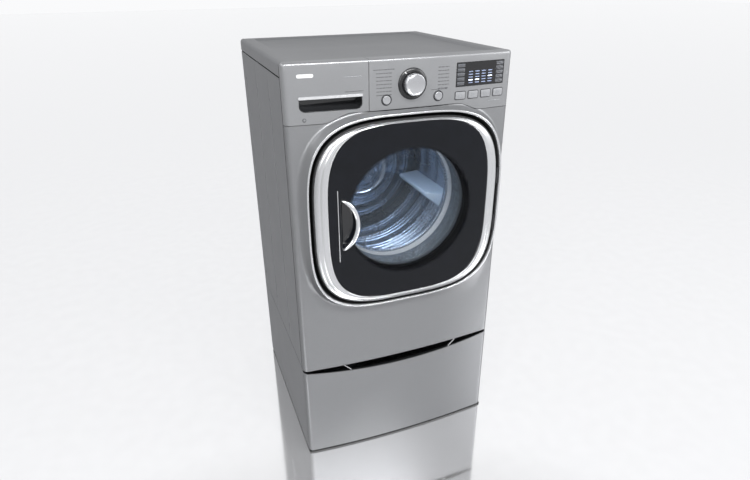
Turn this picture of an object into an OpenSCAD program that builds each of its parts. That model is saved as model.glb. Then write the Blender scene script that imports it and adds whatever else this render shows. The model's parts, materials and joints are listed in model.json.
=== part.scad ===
// Front load washing machine on a drawer pedestal.
// Origin: middle of the footprint on the floor. +Z is up, the door faces -Y.
// Depths named in the modules count backwards from the front edge of the side panels,
// so a negative depth stands proud of that edge.

/* [Cabinet] */
// Width over the side panels
body_w = 686; // [670:1:840]
// Depth of the side panels
body_d = 656; // [640:1:800]
// Height of the washer above its pedestal
washer_h = 976; // [970:1:1180]
// Height of the pedestal with its feet
pedestal_h = 353; // [290:1:430]
// Thickness of the sheet steel
sheet = 1.5; // [1:0.1:2]
// Height of the skirt round the top plate
lid_skirt = 37; // [25:1:50]
// Height of the raised rim of the top plate
lid_rim = 6; // [3:0.5:10]
// Width of the raised rim of the top plate
lid_rim_w = 46; // [30:1:60]
// Width of the seams between the outer panels
seam = 1.5; // [1:0.1:2.5]
// Depth of the vertical steps pressed into the side panels
press_depth = 0.8; // [0.4:0.1:1]

/* [Front faces] */
// How far the front faces bow forward in the middle
face_bow = 18; // [10:1:24]
// Radius of the upright corners of the front faces
face_corner = 16; // [10:1:18]
// Depth of the seam between the front faces and the side panels
seam_back = 20; // [18:1:30]
// Thickness of the moulded front faces
face_t = 3; // [2:0.5:4]
// Height of the control fascia at its ends
fascia_side_h = 163; // [150:1:180]
// Height of the control fascia over the door
fascia_mid_h = 138; // [130:1:150]
// Half width of the level middle of the fascia's lower edge
fascia_mid_half = 160; // [120:1:180]
// Length of each slope in the fascia's lower edge
fascia_slope = 80; // [50:1:100]

/* [Door] */
// Distance from the door opening to the left side of the cabinet
door_margin_left = 43; // [38:1:60]
// Distance from the door opening to the right side of the cabinet
door_margin_right = 33; // [30:1:60]
// Distance from the door opening up to the fascia
door_margin_top = 13.5; // [12:0.5:30]
// Distance from the washer's lower edge up to the door opening
door_margin_bottom = 234.5; // [200:0.5:280]
// How square the door's outlines are, 2 being an ellipse
door_power = 3.6; // [3:0.1:5]
// How far the rim round the opening stands proud
rim_proud = 38; // [32:1:44]
// Gap between the opening and the door
door_gap = 11; // [9:0.5:14]
// Width of the silver ring at the sides of the glass
ring_side = 39; // [25:1:50]
// Width of the silver ring above and below the glass
ring_end = 13; // [10:1:30]
// How far the glass sits above the middle of the door
glass_lift = 8; // [0:1:10]
// Thickness of the smoked cover
cover_t = 5; // [3:0.5:6]
// How far the smoked cover stands proud
cover_proud = 52; // [46:1:56]
// How far the grip stands proud
grip_proud = 66; // [60:1:72]
// Height of the grip's recess
grip_h = 150; // [120:1:180]
// Radius of the door hinge pins
hinge_pin_r = 1.5; // [1:0.1:2]
// Distance of each hinge from the middle of the door
hinge_spread = 80; // [50:1:90]

/* [Drum and tub] */
// Height of the drum's axis over the middle of the door
drum_rise = 9; // [0:1:12]
// Clearance between the tub and the side panels
tub_side_gap = 45; // [38:1:60]
// Space kept over the tub for the controls and the dispenser
tub_top_gap = 138; // [132:1:160]
// Thickness of the tub's wall
tub_wall = 6; // [4:0.5:8]
// Gap between the drum and the tub
drum_gap = 24; // [14:1:30]
// Thickness of the drum's sheet
drum_t = 2; // [1:0.1:3]
// Radius of the drum's mouth
mouth_r = 196; // [180:1:200]
// Depth at which the tub's front wall starts
tub_front_at = 92; // [86:1:100]
// Space kept behind the tub for the motor
motor_space = 120; // [115:1:140]
// How far the drum's back wall is dished forward
dish = 120; // [60:1:130]
// Radius of the lifters' crests about the drum's axis
lifter_crest_r = 186; // [180:1:210]
// Radius of the drum shaft
shaft_r = 15; // [12:0.5:18]
// Travel of the tub on its springs, each way
float_travel = 8; // [4:1:10]

/* [Controls] */
// Width of the dispenser drawer's front
drawer_w = 232; // [220:1:250]
// Width of the pocket in the drawer's front
pocket_w = 173; // [120:1:180]
// Height of the pocket in the drawer's front
pocket_h = 38; // [30:1:42]
// Radius of the programme knob
knob_r = 31; // [26:0.5:34]
// Radius of the ring round the programme knob
bezel_r = 43; // [38:0.5:46]
// Radius of the power and start buttons
button_r = 12; // [9:0.5:13]
// Travel of the power and start buttons
button_travel = 1.5; // [1:0.1:2]
// Width of the display
display_w = 162; // [140:1:170]
// Height of the display
display_h = 67; // [50:1:70]
// Distance from the display to the right side of the cabinet
display_margin = 28; // [24:1:40]
// Width of an option button
option_w = 35; // [28:1:38]
// Height of an option button
option_h = 23; // [18:1:25]
// Travel of the option buttons
option_travel = 1; // [0.6:0.1:1.4]
// Length of the dispenser tray
tray_len = 280; // [220:1:290]

/* [Pedestal] */
// Clearance under the pedestal
foot_h = 8; // [6:1:20]
// Height of the finger gap at the ends of the pedestal drawer
grip_gap_end = 10; // [8:1:14]
// Height of the finger gap in its middle
grip_gap_mid = 35; // [25:1:45]
// Width of the drawer slides, each side
slide_w = 13; // [12:0.5:16]
// Travel of the pedestal drawer
drawer_travel = 420; // [300:1:440]

/* [Hidden] */

// Fits
touch = 0.3;          // gap between curved faces of different bodies
running = 0.05;       // radial clearance of a turning or sliding fit
shadow_gap = 3;       // gap between the pedestal and the washer's front
eps = 0.5;            // overrun of a cut

// Overall places
rear_proud = 16;      // the inlet threads behind the side panels
front_y = grip_proud - (grip_proud + body_d + rear_proud) / 2;
half_w = body_w / 2;
top_z = pedestal_h + washer_h;
washer_z = pedestal_h + shadow_gap;
lid_z = top_z - lid_skirt;
fascia_side_z = top_z - fascia_side_h;
fascia_mid_z = top_z - fascia_mid_h;

// Door and drum places
open_left = -half_w + door_margin_left;
open_right = half_w - door_margin_right;
open_top = fascia_mid_z - door_margin_top;
open_bottom = washer_z + door_margin_bottom - shadow_gap;
door_x = (open_left + open_right) / 2;
door_z = (open_top + open_bottom) / 2;
open_a = (open_right - open_left) / 2;
open_b = (open_top - open_bottom) / 2;
rim_w = 7.5;
hill_side = 30;
hill_end = 10;
ring_a = open_a - door_gap;
ring_b = open_b - door_gap;
glass_a = ring_a - ring_side;
glass_b = ring_b - ring_end;
ring_front = -rim_proud + 2;
cover_back = -cover_proud + cover_t;
flange_at = seam_back + 2;
flange_t = 2;
drum_x = door_x;
drum_z = door_z + drum_rise;
tub_r = min(half_w - tub_side_gap, top_z - tub_top_gap - drum_z);
drum_r = tub_r - tub_wall - drum_gap;
tub_back_at = body_d - motor_space;
drum_front_at = tub_front_at + tub_wall + 8;
drum_back_at = tub_back_at - tub_wall - 25;
dish_at = drum_back_at - dish;
cap_at = dish_at - 55;
flange_hole_r = mouth_r + 18;
hinge_x = open_right - door_gap * 0.64;
hinge_at = -rim_proud + 2;
knuckle_r = hinge_pin_r + 2;

// Control places
face_front = -face_bow;
split_x = -half_w + drawer_w;
display_x = half_w - display_margin - display_w / 2;
display_z = top_z - 57.5;
control_row_z = fascia_mid_z + 28;
option_z = control_row_z - 5.5;
option_pitch = (display_w - option_w + 3) / 3;
knob_x = (split_x + display_x - display_w / 2) / 2 - 5;
knob_z = fascia_mid_z + 67;
power_x = (split_x + knob_x - bezel_r) / 2 + 8;
start_x = (display_x - display_w / 2 + knob_x + bezel_r) / 2 - 9;
housing_z = fascia_mid_z + 12;
tray_wall = 2;
tray_gap = 2;
housing_wall = 2;
tray_x0 = -half_w + 18;
tray_x1 = split_x - 20;
tray_z0 = housing_z + housing_wall + tray_gap;
tray_z1 = tray_z0 + 58;
tray_at = seam_back + 3;
pocket_x = (-half_w + split_x) / 2 + 10.5;
pocket_z = fascia_mid_z + 29;

// Pedestal places
ped_top_t = 3;
ped_front_top = pedestal_h - grip_gap_end + shadow_gap;
ped_tray_x = half_w - sheet - slide_w;
ped_tray_len = drawer_travel + 130;
ped_tray_z0 = foot_h + 22;
ped_tray_z1 = pedestal_h - 60;
slide_z = ped_tray_z0 + 90;
slide_h = 46;
slide_len = drawer_travel + 60;

// Springs and dampers
spring_x = half_w - 138;
spring_at = 350;
spring_r = 14;
wire_r = 2.5;
spring_foot_z = drum_z + sqrt(pow(tub_r, 2) - pow(spring_x, 2)) + 22;
brace_z = lid_z - 34;
damper_x = half_w - 193;
damper_at = [190, 440];
damper_r = 10;
damper_top_z = drum_z - sqrt(pow(tub_r, 2) - pow(damper_x, 2)) - 12;
base_h = 42;

// Rear services
inlet_x = [half_w - 118, half_w - 68];
inlet_z = lid_z - 60;
inlet_r = 13.25;
drain_x = -half_w + 93;
drain_z = lid_z - 142;
drain_r = 15;
gland_x = -half_w + 173;
gland_z = lid_z - 48;
gland_hole_r = 5.5;
gland_r = 11;
pump_z = pedestal_h + 62;
hose_r = 11;
hose_at = body_d - 40;

// Helper shapes

// Extrudes an outline drawn as (x, z) between two depths.
module slab(from, to)
  translate([0, front_y + to, 0]) rotate([90, 0, 0]) linear_extrude(to - from) children();

// Turns a profile of (radius, depth) points about an axis that runs front to back.
module turned(points, x, z, facets = 96)
  translate([x, front_y, z]) rotate([-90, 0, 0]) rotate_extrude($fn = facets) polygon(points);

// A round bar that runs front to back.
module rod(r, from, to, x, z, facets = 48)
  translate([x, front_y + to, z]) rotate([90, 0, 0]) cylinder(r = r, h = to - from, $fn = facets);

// A box given by its two corners, with depths in the second place.
module block(low, high)
  translate([low[0], front_y + low[1], low[2]])
      cube([high[0] - low[0], high[1] - low[1], high[2] - low[2]]);

// A squared-off ellipse.
function squircle(a, b, steps = 72) = [
  for (i = [0 : steps - 1])
    let (t = 360 * (i + 0.5) / steps, c = cos(t), s = sin(t))
      [a * sign(c) * pow(abs(c), 2 / door_power), b * sign(s) * pow(abs(s), 2 / door_power)]
];

module door_outline(a, b) translate([door_x, door_z]) polygon(squircle(a, b));

// Depth of the bowed front at a distance from the middle.
function bow(x) = -face_bow * (1 - pow(x / half_w, 2));

// Plan outline of the bowed front, set in by t, closed at a depth.
corner_x = half_w - face_corner;
corner_at = bow(corner_x) + face_corner;
function face_outline(t, back) = concat(
  [[-half_w + t, back]],
  [for (a = [180 : 18 : 270]) [-corner_x + (face_corner - t)
      * cos(a), corner_at + (face_corner - t) * sin(a)]],
  [for (i = [1 : 23]) let (x = corner_x * (i / 12 - 1)) [x, bow(x) + t]],
  [for (a = [270 : 18 : 360]) [corner_x + (face_corner - t) * cos(a), corner_at + (face_corner - t)
      * sin(a)]],
  [[half_w - t, back]]
);

module bowed_shell(t, back, z0, z1)
  translate([0, front_y, z0]) linear_extrude(z1 - z0) difference() {
    polygon(face_outline(0, back));
    polygon(face_outline(t, back + eps));
  }

module bowed_solid(t, back, z0, z1)
  translate([0, front_y, z0]) linear_extrude(z1 - z0) polygon(face_outline(t, back));

// Height of the seam between the front panel and the fascia.
function ease(s) = let (c = min(max(s, 0), 1)) c * c * (3 - 2 * c);
function split_z(x) =
  fascia_mid_z - (fascia_mid_z - fascia_side_z) * ease((abs(x) - fascia_mid_half) / fascia_slope);
split_xs = concat(
  [-half_w - eps],
  [for (i = [8 : -1 : 0]) -fascia_mid_half - fascia_slope * i / 8],
  [for (i = [0 : 8]) fascia_mid_half + fascia_slope * i / 8],
  [half_w + eps]
);

// Everything over the seam, or under it, as an outline of (x, z).
module over_split(gap) polygon(concat(
  [for (x = split_xs) [x, split_z(x) + gap]],
  [[half_w + eps, top_z + 10], [-half_w - eps, top_z + 10]]
));
module under_split() polygon(concat(
  [for (x = split_xs) [x, split_z(x)]],
  [[half_w + eps, 0], [-half_w - eps, 0]]
));

// Cabinet

module base_frame() color("dimgray") difference() {
  block([-half_w + sheet, seam_back + 8, pedestal_h],
      [half_w - sheet, body_d - sheet, pedestal_h + base_h]);
  block([-half_w + sheet + 2, seam_back + 10, pedestal_h + 3],
        [half_w - sheet - 2, body_d - sheet - 2, pedestal_h + base_h + eps]);
  for (x = bolt_xs, at = bolt_ats)
    translate([x, front_y + at, pedestal_h - eps]) cylinder(r = bolt_r + 0.4, h = 5, $fn = 32);
}

bolt_r = 4;
bolt_xs = [-half_w + 62, half_w - 62];
bolt_ats = [80, body_d - 70];

module side_panel(side) color("silver") difference() {
  union() {
    block([side > 0 ? half_w - sheet : -half_w, seam_back + seam, washer_z],
          [side > 0 ? half_w : -half_w + sheet, body_d, lid_z - 2]);
    block([side > 0 ? half_w - 14 : -half_w, seam_back + seam, washer_z + base_h + 2],
          [side > 0 ? half_w : -half_w + 14, seam_back + seam + sheet, fascia_side_z - 6]);
  }
  for (at = side_steps)
    block([side > 0 ? half_w - press_depth : -half_w - eps, at, step_z0],
          [side > 0 ? half_w + eps : -half_w + press_depth, at + step_w, step_z1]);
}

step_w = 6;
step_z0 = washer_z + 60;
step_z1 = lid_z - 78;
side_steps = [185, 390, body_d - 56];

module left_side() side_panel(-1);
module right_side() side_panel(1);

rear_hole_r = 175;
module rear_panel() color("gainsboro") difference() {
  block([-half_w + sheet, body_d - sheet, pedestal_h + base_h - 12], [half_w - sheet, body_d, lid_z - 2]);
  rod(rear_hole_r, body_d - 4, body_d + eps, drum_x, drum_z, 96);
  for (x = inlet_x) rod(inlet_r + 1, body_d - 4, body_d + eps, x, inlet_z);
  rod(drain_r + 1, body_d - 4, body_d + eps, drain_x, drain_z);
  rod(gland_r + 0.2, body_d - 4, body_d + eps, gland_x, gland_z);
}

module rear_cover() color("gainsboro") turned(
  [[0, body_d + 8], [rear_hole_r - 22, body_d + 8], [rear_hole_r - 6, body_d], [rear_hole_r + 14, body_d],
   [rear_hole_r + 14, body_d + sheet], [rear_hole_r - 5, body_d + sheet],
   [rear_hole_r - 21, body_d + 8 + sheet], [0, body_d + 8 + sheet]],
  drum_x, drum_z);

lid_front = seam_back + 8;
lid_back = body_d + 1;
module top_plate() color("silver") difference() {
  lid_body(0, lid_front, lid_back);
  difference() {
    lid_body(sheet, lid_front - eps, lid_back - sheet);
    block([-half_w + lid_rim_w - sheet, lid_front - 1, top_z - lid_rim - sheet],
          [half_w - lid_rim_w + sheet, lid_back - lid_rear_rim + sheet, top_z]);
  }
  block([-half_w + lid_rim_w, lid_front - eps, top_z - lid_rim],
        [half_w - lid_rim_w, lid_back - lid_rear_rim, top_z + eps]);
}

// The top plate's outside, or its inside where t is the sheet.
lid_rear_rim = 20;
lid_round = 10;
module lid_body(t, from, to) translate([0, front_y + to, 0]) rotate([90, 0, 0]) linear_extrude(to - from) {
  translate([-half_w + t, lid_z - t]) square([body_w - 2 * t, lid_skirt - lid_round + t]);
  translate([-half_w + lid_round, lid_z - t]) square([body_w - 2 * lid_round, lid_skirt]);
  for (s = [-1, 1]) translate([s * (half_w - lid_round), top_z - lid_round])
      circle(r = lid_round - t, $fn = 48);
}

module front_panel() color("silver") difference() {
  union() {
    difference() {
      union() {
        intersection() {
          bowed_shell(sheet, seam_back, washer_z, fascia_mid_z);
          slab(-100, seam_back + eps) under_split();
        }
        door_hill(0);
      }
      door_hill(sheet);
      slab(-100, seam_back - 1) door_outline(open_a + 1, open_b + 1);
    }
    difference() {
      slab(-rim_proud, flange_at) door_outline(open_a + sheet, open_b + sheet);
      slab(-100, flange_at - flange_t) door_outline(open_a, open_b);
    }
  }
  rod(flange_hole_r, -100, flange_at + eps, drum_x, drum_z, 96);
  block([door_x - open_a + 22, flange_at - flange_t - eps, door_z - 14],
        [door_x - open_a + 44, flange_at + eps, door_z + 14]);
}

// The rise from the flat of the front up to the rim, in steps; t sets it inside the steel.
hill_base = 3;
hill_steps = 5;
module door_hill(t) for (i = [1 : hill_steps]) {
  s = (hill_steps - i) / (hill_steps - 1);
  slab(-rim_proud * i / hill_steps + t, hill_base + t)
    door_outline(open_a + rim_w + (hill_side - rim_w) * s - t, open_b + rim_w + (hill_end - rim_w) * s - t);
}

module top_braces() color("lightgray") for (at = [spring_at, body_d - 60]) difference() {
  block([-half_w + sheet, at - 18, brace_z], [half_w - sheet, at + 18, brace_z + 30]);
  block([-half_w + sheet - eps, at - 16.5, brace_z - eps],
      [half_w - sheet + eps, at + 16.5, brace_z + 28.5]);
}

// Controls

module fascia(side) intersection() {
  union() {
    bowed_shell(face_t, seam_back, fascia_side_z, top_z);
    bowed_shell(face_t, lid_front - seam, lid_z, top_z);
    bowed_solid(face_t / 2, lid_front - seam, top_z - face_t, top_z);
  }
  slab(-100, lid_front + eps) over_split(seam);
  if (side < 0)
    block([-half_w - 1, -100, 0], [split_x - seam / 2, 100, top_z + 1]);
  else
    block([split_x + seam / 2, -100, 0], [half_w + 1, 100, top_z + 1]);
}

function option_x(i) = display_x + (i - 1.5) * option_pitch;

module option_outline(i, grow) {
  w = option_w + 2 * grow;
  h = option_h + 2 * grow;
  r = 4 + grow;
  translate([option_x(i), option_z]) {
    square([w - 2 * r, h], center = true);
    square([w, h - 2 * r], center = true);
    for (sx = [-1, 1], sy = [-1, 1]) translate([sx * (w / 2 - r), sy * (h / 2 - r)])
        circle(r = r, $fn = 32);
  }
}

module display_outline(grow)
  translate([display_x, display_z]) square([display_w + 2 * grow, display_h + 2 * grow], center = true);

knob_face = face_front - 4;
knob_shaft_r = 4;
module control_panel() color("silver") {
  difference() {
    union() {
      fascia(1);
      rod(bezel_r, knob_face, 4, knob_x, knob_z, 96);
      for (x = [power_x, start_x]) rod(button_r + 3, face_front - 1, face_front + 6, x, control_row_z);
    }
    rod(knob_shaft_r + running, knob_face - eps, 4 + eps, knob_x, knob_z);
    for (x = [power_x, start_x]) rod(button_r + touch, face_front - 2, face_front + 7, x, control_row_z);
    slab(-100, 2) display_outline(0.2);
    for (i = [0 : 3]) slab(-100, 6) option_outline(i, touch);
  }
}

module display_window() color("black") intersection() {
  translate([0, front_y, display_z - display_h]) linear_extrude(2 * display_h) difference() {
    translate([0, -0.6]) polygon(face_outline(0, 6));
    translate([0, 0.6]) polygon(face_outline(face_t - 0.6, 7));
  }
  slab(-100, 20) display_outline(0);
}

board_at = 10;
board_x0 = power_x - 30;
board_x1 = display_x + display_w / 2 - 4;
module control_board() color("darkgreen") {
  difference() {
    block([board_x0, board_at, control_row_z - 18], [board_x1, board_at + 2, top_z - 22]);
    rod(knob_shaft_r + 1, board_at - 1, board_at + 3, knob_x, knob_z);
  }
  block([display_x - 60, board_at - 8, display_z - 22], [display_x + 60, board_at, display_z + 22]);
  for (i = [0 : 3]) block([option_x(i) - 4, board_at - 6, option_z - 4], [option_x(i)
      + 4, board_at, option_z + 4]);
  for (x = [power_x, start_x]) block([x - 4, board_at - 6, control_row_z - 4],
      [x + 4, board_at, control_row_z + 4]);
  block([knob_x - 12, board_at + 2, knob_z - 12], [knob_x + 12, board_at + 10, knob_z + 12]);
}

module programme_knob() color("whitesmoke") {
  turned([[0, knob_face - 20], [knob_r - 4, knob_face - 20], [knob_r - 1, knob_face - 18],
      [knob_r, knob_face - touch],
          [0, knob_face - touch]], knob_x, knob_z);
  rod(knob_shaft_r, knob_face - touch - 1, board_at + 1.5, knob_x, knob_z);
}

module round_button(x) color("whitesmoke") {
  rod(button_r, face_front - 3, face_front + 9, x, control_row_z);
  rod(3, face_front + 8, board_at - 6 - button_travel - 0.2, x, control_row_z, 24);
}
module power_button() round_button(power_x);
module start_button() round_button(start_x);

module option_button(i) color("whitesmoke") {
  slab(bow(option_x(i)) - 1.5, bow(option_x(i)) + 5) option_outline(i, 0);
  block([option_x(i) - 2.5, bow(option_x(i)) + 4, option_z - 2.5],
        [option_x(i) + 2.5, board_at - 6 - option_travel - 0.2, option_z + 2.5]);
}
module option_button_1() option_button(0);
module option_button_2() option_button(1);
module option_button_3() option_button(2);
module option_button_4() option_button(3);

// Dispenser drawer

pocket_r = 16;
module pocket_outline(grow) translate([pocket_x, pocket_z]) {
  w = pocket_w / 2 + grow;
  h = pocket_h / 2 + grow;
  r = pocket_r + grow;
  polygon([[-w, h], [w, h], [w, -h + r], [w - r, -h + r], [w - r, -h], [-w + r, -h],
      [-w + r, -h + r], [-w, -h + r]]);
  for (s = [-1, 1]) translate([s * (w - r), -h + r]) circle(r = r, $fn = 48);
}

pocket_back = seam_back - 3;
module dispenser_front() color("silver") difference() {
  union() {
    fascia(-1);
    intersection() {
      bowed_solid(face_t / 2, tray_at, fascia_side_z, top_z - face_t);
      slab(-100, tray_at) pocket_outline(2);
    }
    block([-half_w + sheet + 0.7, seam_back - 1, fascia_mid_z + 4],
          [split_x - seam / 2, tray_at, top_z - face_t / 2]);
  }
  slab(-100, pocket_back) pocket_outline(0);
}

// Each cup of the tray: its left, front, right and back, as depths and widths inside the walls.
tray_left_wall = tray_x0 + (tray_x1 - tray_x0) * 0.36;
tray_right_wall = tray_x0 + (tray_x1 - tray_x0) * 0.7;
tray_cross_wall = tray_at + tray_len * 0.45;
tray_cups = [
  [tray_x0, tray_at, tray_left_wall, tray_at + tray_len - tray_wall],
  [tray_left_wall, tray_at, tray_right_wall, tray_cross_wall],
  [tray_left_wall, tray_cross_wall, tray_right_wall, tray_at + tray_len - tray_wall],
  [tray_right_wall, tray_at, tray_x1 - tray_wall, tray_at + tray_len - tray_wall]
];
module dispenser_tray() color("lightsteelblue") difference() {
  block([tray_x0, tray_at, tray_z0], [tray_x1, tray_at + tray_len, tray_z1]);
  for (cup = tray_cups)
    block([cup[0] + tray_wall, cup[1] + tray_wall, tray_z0 + tray_wall], [cup[2], cup[3], tray_z1 + eps]);
}

housing_at = tray_at + 4;
housing_back = tray_at + tray_len + 16;
module dispenser_housing() color("gray") {
  x0 = tray_x0 - tray_gap;
  x1 = tray_x1 + tray_gap;
  z1 = tray_z1 + 8;
  difference() {
    block([x0 - housing_wall, housing_at, housing_z], [x1 + housing_wall, housing_back, z1 + housing_wall]);
    block([x0, housing_at - eps, housing_z + housing_wall], [x1, housing_back - housing_wall, z1]);
    translate([spout_x, front_y + spout_at, housing_z - eps]) cylinder(r = 14, h = 5, $fn = 48);
  }
  translate([spout_x, front_y + spout_at, housing_z - 4]) difference() {
    cylinder(r = 16, h = 4, $fn = 48);
    translate([0, 0, -eps]) cylinder(r = 14, h = 5, $fn = 48);
  }
}
spout_x = tray_x0 + 30;
spout_at = housing_back - 30;

// Water and power

module inlet_valves() color("white") for (x = inlet_x) {
  rod(inlet_r, body_d, body_d + rear_proud, x, inlet_z);
  rod(inlet_r + 0.9, body_d - sheet, body_d, x, inlet_z);
  block([x - 20, body_d - 46, inlet_z - 20], [x + 20, body_d - sheet, inlet_z + 20]);
  rod(9, body_d - 70, body_d - 46, x, inlet_z);
}

pump_x = drain_x;
pump_at = 150;
module drain_pump() color("slategray") {
  rod(32, pump_at - 70, pump_at, pump_x, pump_z, 64);
  rod(26, pump_at, pump_at + 46, pump_x, pump_z, 64);
  block([pump_x - 24, pump_at - 50, pedestal_h + 3], [pump_x + 24, pump_at + 30, pump_z - 20]);
}

module drain_hose() color("dimgray") difference() {
  union() {
    rod(hose_r, pump_at + 46, hose_at, pump_x, pump_z);
    translate([pump_x, front_y + hose_at, pump_z]) sphere(r = hose_r, $fn = 32);
    translate([pump_x, front_y + hose_at, pump_z]) cylinder(r = hose_r, h = drain_z - pump_z, $fn = 48);
    translate([pump_x, front_y + hose_at, drain_z]) sphere(r = hose_r, $fn = 32);
    rod(hose_r, hose_at, body_d - 4, drain_x, drain_z);
    rod(drain_r, body_d - 4, body_d + rear_proud - 1, drain_x, drain_z);
  }
  rod(drain_r - 3, body_d - 2, body_d + rear_proud, drain_x, drain_z);
}

module power_gland() color("black") difference() {
  union() {
    rod(gland_r, body_d - sheet, body_d + 7, gland_x, gland_z);
    rod(gland_r + 4, body_d, body_d + 2.5, gland_x, gland_z);
  }
  rod(gland_hole_r, body_d - 2, body_d + 8, gland_x, gland_z);
}

// Tub suspension

// A coil spring as one swept wire.
module coil(r, wire, turns, height) {
  per_turn = 14;
  sides = 6;
  rings = turns * per_turn;
  points = [
    for (i = [0 : rings])
      let (a = 360 * i / per_turn, z = wire + (height - 2 * wire) * i / rings)
        for (j = [0 : sides - 1])
          let (b = 360 * j / sides, q = r + wire * cos(b))
            [q * cos(a), q * sin(a), z + wire * sin(b)]
  ];
  walls = [
    for (i = [0 : rings - 1], j = [0 : sides - 1])
      let (k = (j + 1) % sides)
        [i * sides + j, i * sides + k, (i + 1) * sides + k, (i + 1) * sides + j]
  ];
  polyhedron(points, concat(
    [[for (j = [sides - 1 : -1 : 0]) j]],
    walls,
    [[for (j = [0 : sides - 1]) rings * sides + j]]
  ), convexity = 10);
}

module suspension_springs() color("darkgray") for (s = [-1, 1])
  translate([drum_x + s * spring_x, front_y + spring_at, spring_foot_z])
    coil(spring_r, wire_r, 7, brace_z - spring_foot_z);

module damper_cylinders() color("dimgray") for (s = [-1, 1], at = damper_at)
  translate([drum_x + s * damper_x, front_y + at, pedestal_h + 3]) difference() {
    cylinder(r = damper_r + 4, h = (damper_top_z - pedestal_h) * 0.6, $fn = 48);
    translate([0, 0, 14]) cylinder(r = damper_r + running, h = damper_top_z, $fn = 48);
  }

module damper_rods() color("silver") for (s = [-1, 1], at = damper_at)
  translate([drum_x + s * damper_x, front_y + at, 0]) {
    translate([0, 0, pedestal_h + 3 + 14 + 2 * float_travel + 20])
      cylinder(r = damper_r, h = damper_top_z - pedestal_h - 37 - 2 * float_travel, $fn = 48);
  }

bellows_at = flange_at;
tub_mouth_at = tub_front_at - 20;
module bellows() color("gray") turned(
  [[flange_hole_r + 12, bellows_at], [flange_hole_r + 12, bellows_at + 3],
  [flange_hole_r + 3, bellows_at + 3],
   [flange_hole_r + 3, bellows_at + 14], [flange_hole_r + 16, bellows_at + 22],
       [flange_hole_r + 16, bellows_at + 30],
   [mouth_r + 13, tub_mouth_at - 8], [mouth_r + 13, tub_mouth_at], [mouth_r + 5, tub_mouth_at],
   [mouth_r + 5, tub_mouth_at - 9], [flange_hole_r + 12, bellows_at + 28],
       [flange_hole_r + 12, bellows_at + 24],
   [flange_hole_r, bellows_at + 16], [flange_hole_r, bellows_at]],
  drum_x, drum_z);

// Tub

tub_split_at = (tub_front_at + tub_back_at) / 2;
module tub_front() color("whitesmoke") {
  turned([[mouth_r + 4, tub_mouth_at], [mouth_r + 14, tub_mouth_at], [mouth_r + 14, tub_front_at],
          [tub_r - 8, tub_front_at], [tub_r, tub_front_at + 8], [tub_r, tub_split_at],
          [tub_r - tub_wall, tub_split_at], [tub_r - tub_wall, tub_front_at + tub_wall + 2],
          [tub_r - tub_wall - 2, tub_front_at + tub_wall], [mouth_r + 4, tub_front_at + tub_wall]],
         drum_x, drum_z);
  for (s = [-1, 1]) damper_lug(s, damper_at[0]);
}

module damper_lug(s, at) difference() {
  block([drum_x + s * damper_x - 16, at - 16, damper_top_z],
      [drum_x + s * damper_x + 16, at + 16, damper_top_z + 40]);
  rod(tub_r - tub_wall / 2, at - 20, at + 20, drum_x, drum_z, 96);
}

hub_r = 62;
bearing_r = 34;
bearing_w = 15;
hub_front_at = dish_at + 42;
module tub_rear() color("whitesmoke") difference() {
  union() {
    turned([[tub_r, tub_split_at], [tub_r, tub_back_at - 8], [tub_r - 8, tub_back_at],
        [bearing_r, tub_back_at],
            [bearing_r, tub_back_at - 26], [bearing_r - 6, tub_back_at - 26],
            [bearing_r - 6, hub_front_at + 4 + bearing_w], [bearing_r, hub_front_at + 4 + bearing_w],
            [bearing_r, hub_front_at + 4], [bearing_r - 6, hub_front_at + 4], [bearing_r - 6, hub_front_at],
            [hub_r - 12, hub_front_at], [hub_r, tub_back_at - tub_wall],
            [tub_r - tub_wall - 2, tub_back_at - tub_wall], [tub_r - tub_wall, tub_back_at - tub_wall - 2],
            [tub_r - tub_wall, tub_split_at]], drum_x, drum_z);
    for (s = [-1, 1]) {
      damper_lug(s, damper_at[1]);
      difference() {
        block([drum_x + s * spring_x - 18, spring_at - 18, spring_foot_z - 40],
              [drum_x + s * spring_x + 18, spring_at + 18, spring_foot_z]);
        rod(tub_r - tub_wall / 2, spring_at - 20, spring_at + 20, drum_x, drum_z, 96);
      }
    }
  }
}

module counterweights() color("gray") for (s = [-1, 1]) intersection() {
  turned([[mouth_r + 26, tub_front_at - 30], [tub_r - 12, tub_front_at - 30], [tub_r - 12, tub_front_at],
          [mouth_r + 26, tub_front_at]], drum_x, drum_z);
  block([drum_x - tub_r, 0, s > 0 ? drum_z + 90 : drum_z - tub_r],
        [drum_x + tub_r, tub_front_at + 1, s > 0 ? drum_z + tub_r : drum_z - 90]);
}

module stator() color("saddlebrown") difference() {
  union() {
    turned([[42, tub_back_at], [108, tub_back_at], [108, tub_back_at + 26],
        [42, tub_back_at + 26]], drum_x, drum_z);
    for (i = [0 : 23]) translate([drum_x, front_y + tub_back_at + 4, drum_z]) rotate([0, i * 15, 0])
      translate([104, 0, -7]) cube([22, 20, 14]);
  }
}

module bearing_set() color("silver") {
  for (at = [hub_front_at + 4, tub_back_at - 26]) turned(
    [[shaft_r + running, at], [bearing_r, at], [bearing_r, at + bearing_w],
     [shaft_r + running, at + bearing_w]], drum_x, drum_z);
  turned([[shaft_r + running, hub_front_at], [bearing_r - 6, hub_front_at],
      [bearing_r - 6, hub_front_at + 4],
          [shaft_r + running, hub_front_at + 4]], drum_x, drum_z);
}

// Drum

module drum_shell() color("lightsteelblue") turned(
  [[mouth_r, drum_front_at + 10], [mouth_r + 3, drum_front_at], [mouth_r + 12, drum_front_at],
   [drum_r - 14, drum_front_at + 16], [drum_r, drum_front_at + 34], [drum_r, drum_back_at],
   [drum_r - drum_t, drum_back_at], [drum_r - drum_t, drum_front_at + 35],
       [drum_r - 15, drum_front_at + 18],
   [mouth_r + 11, drum_front_at + 2], [mouth_r + 4, drum_front_at + 2], [mouth_r + 2, drum_front_at + 10]],
  drum_x, drum_z);

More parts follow.
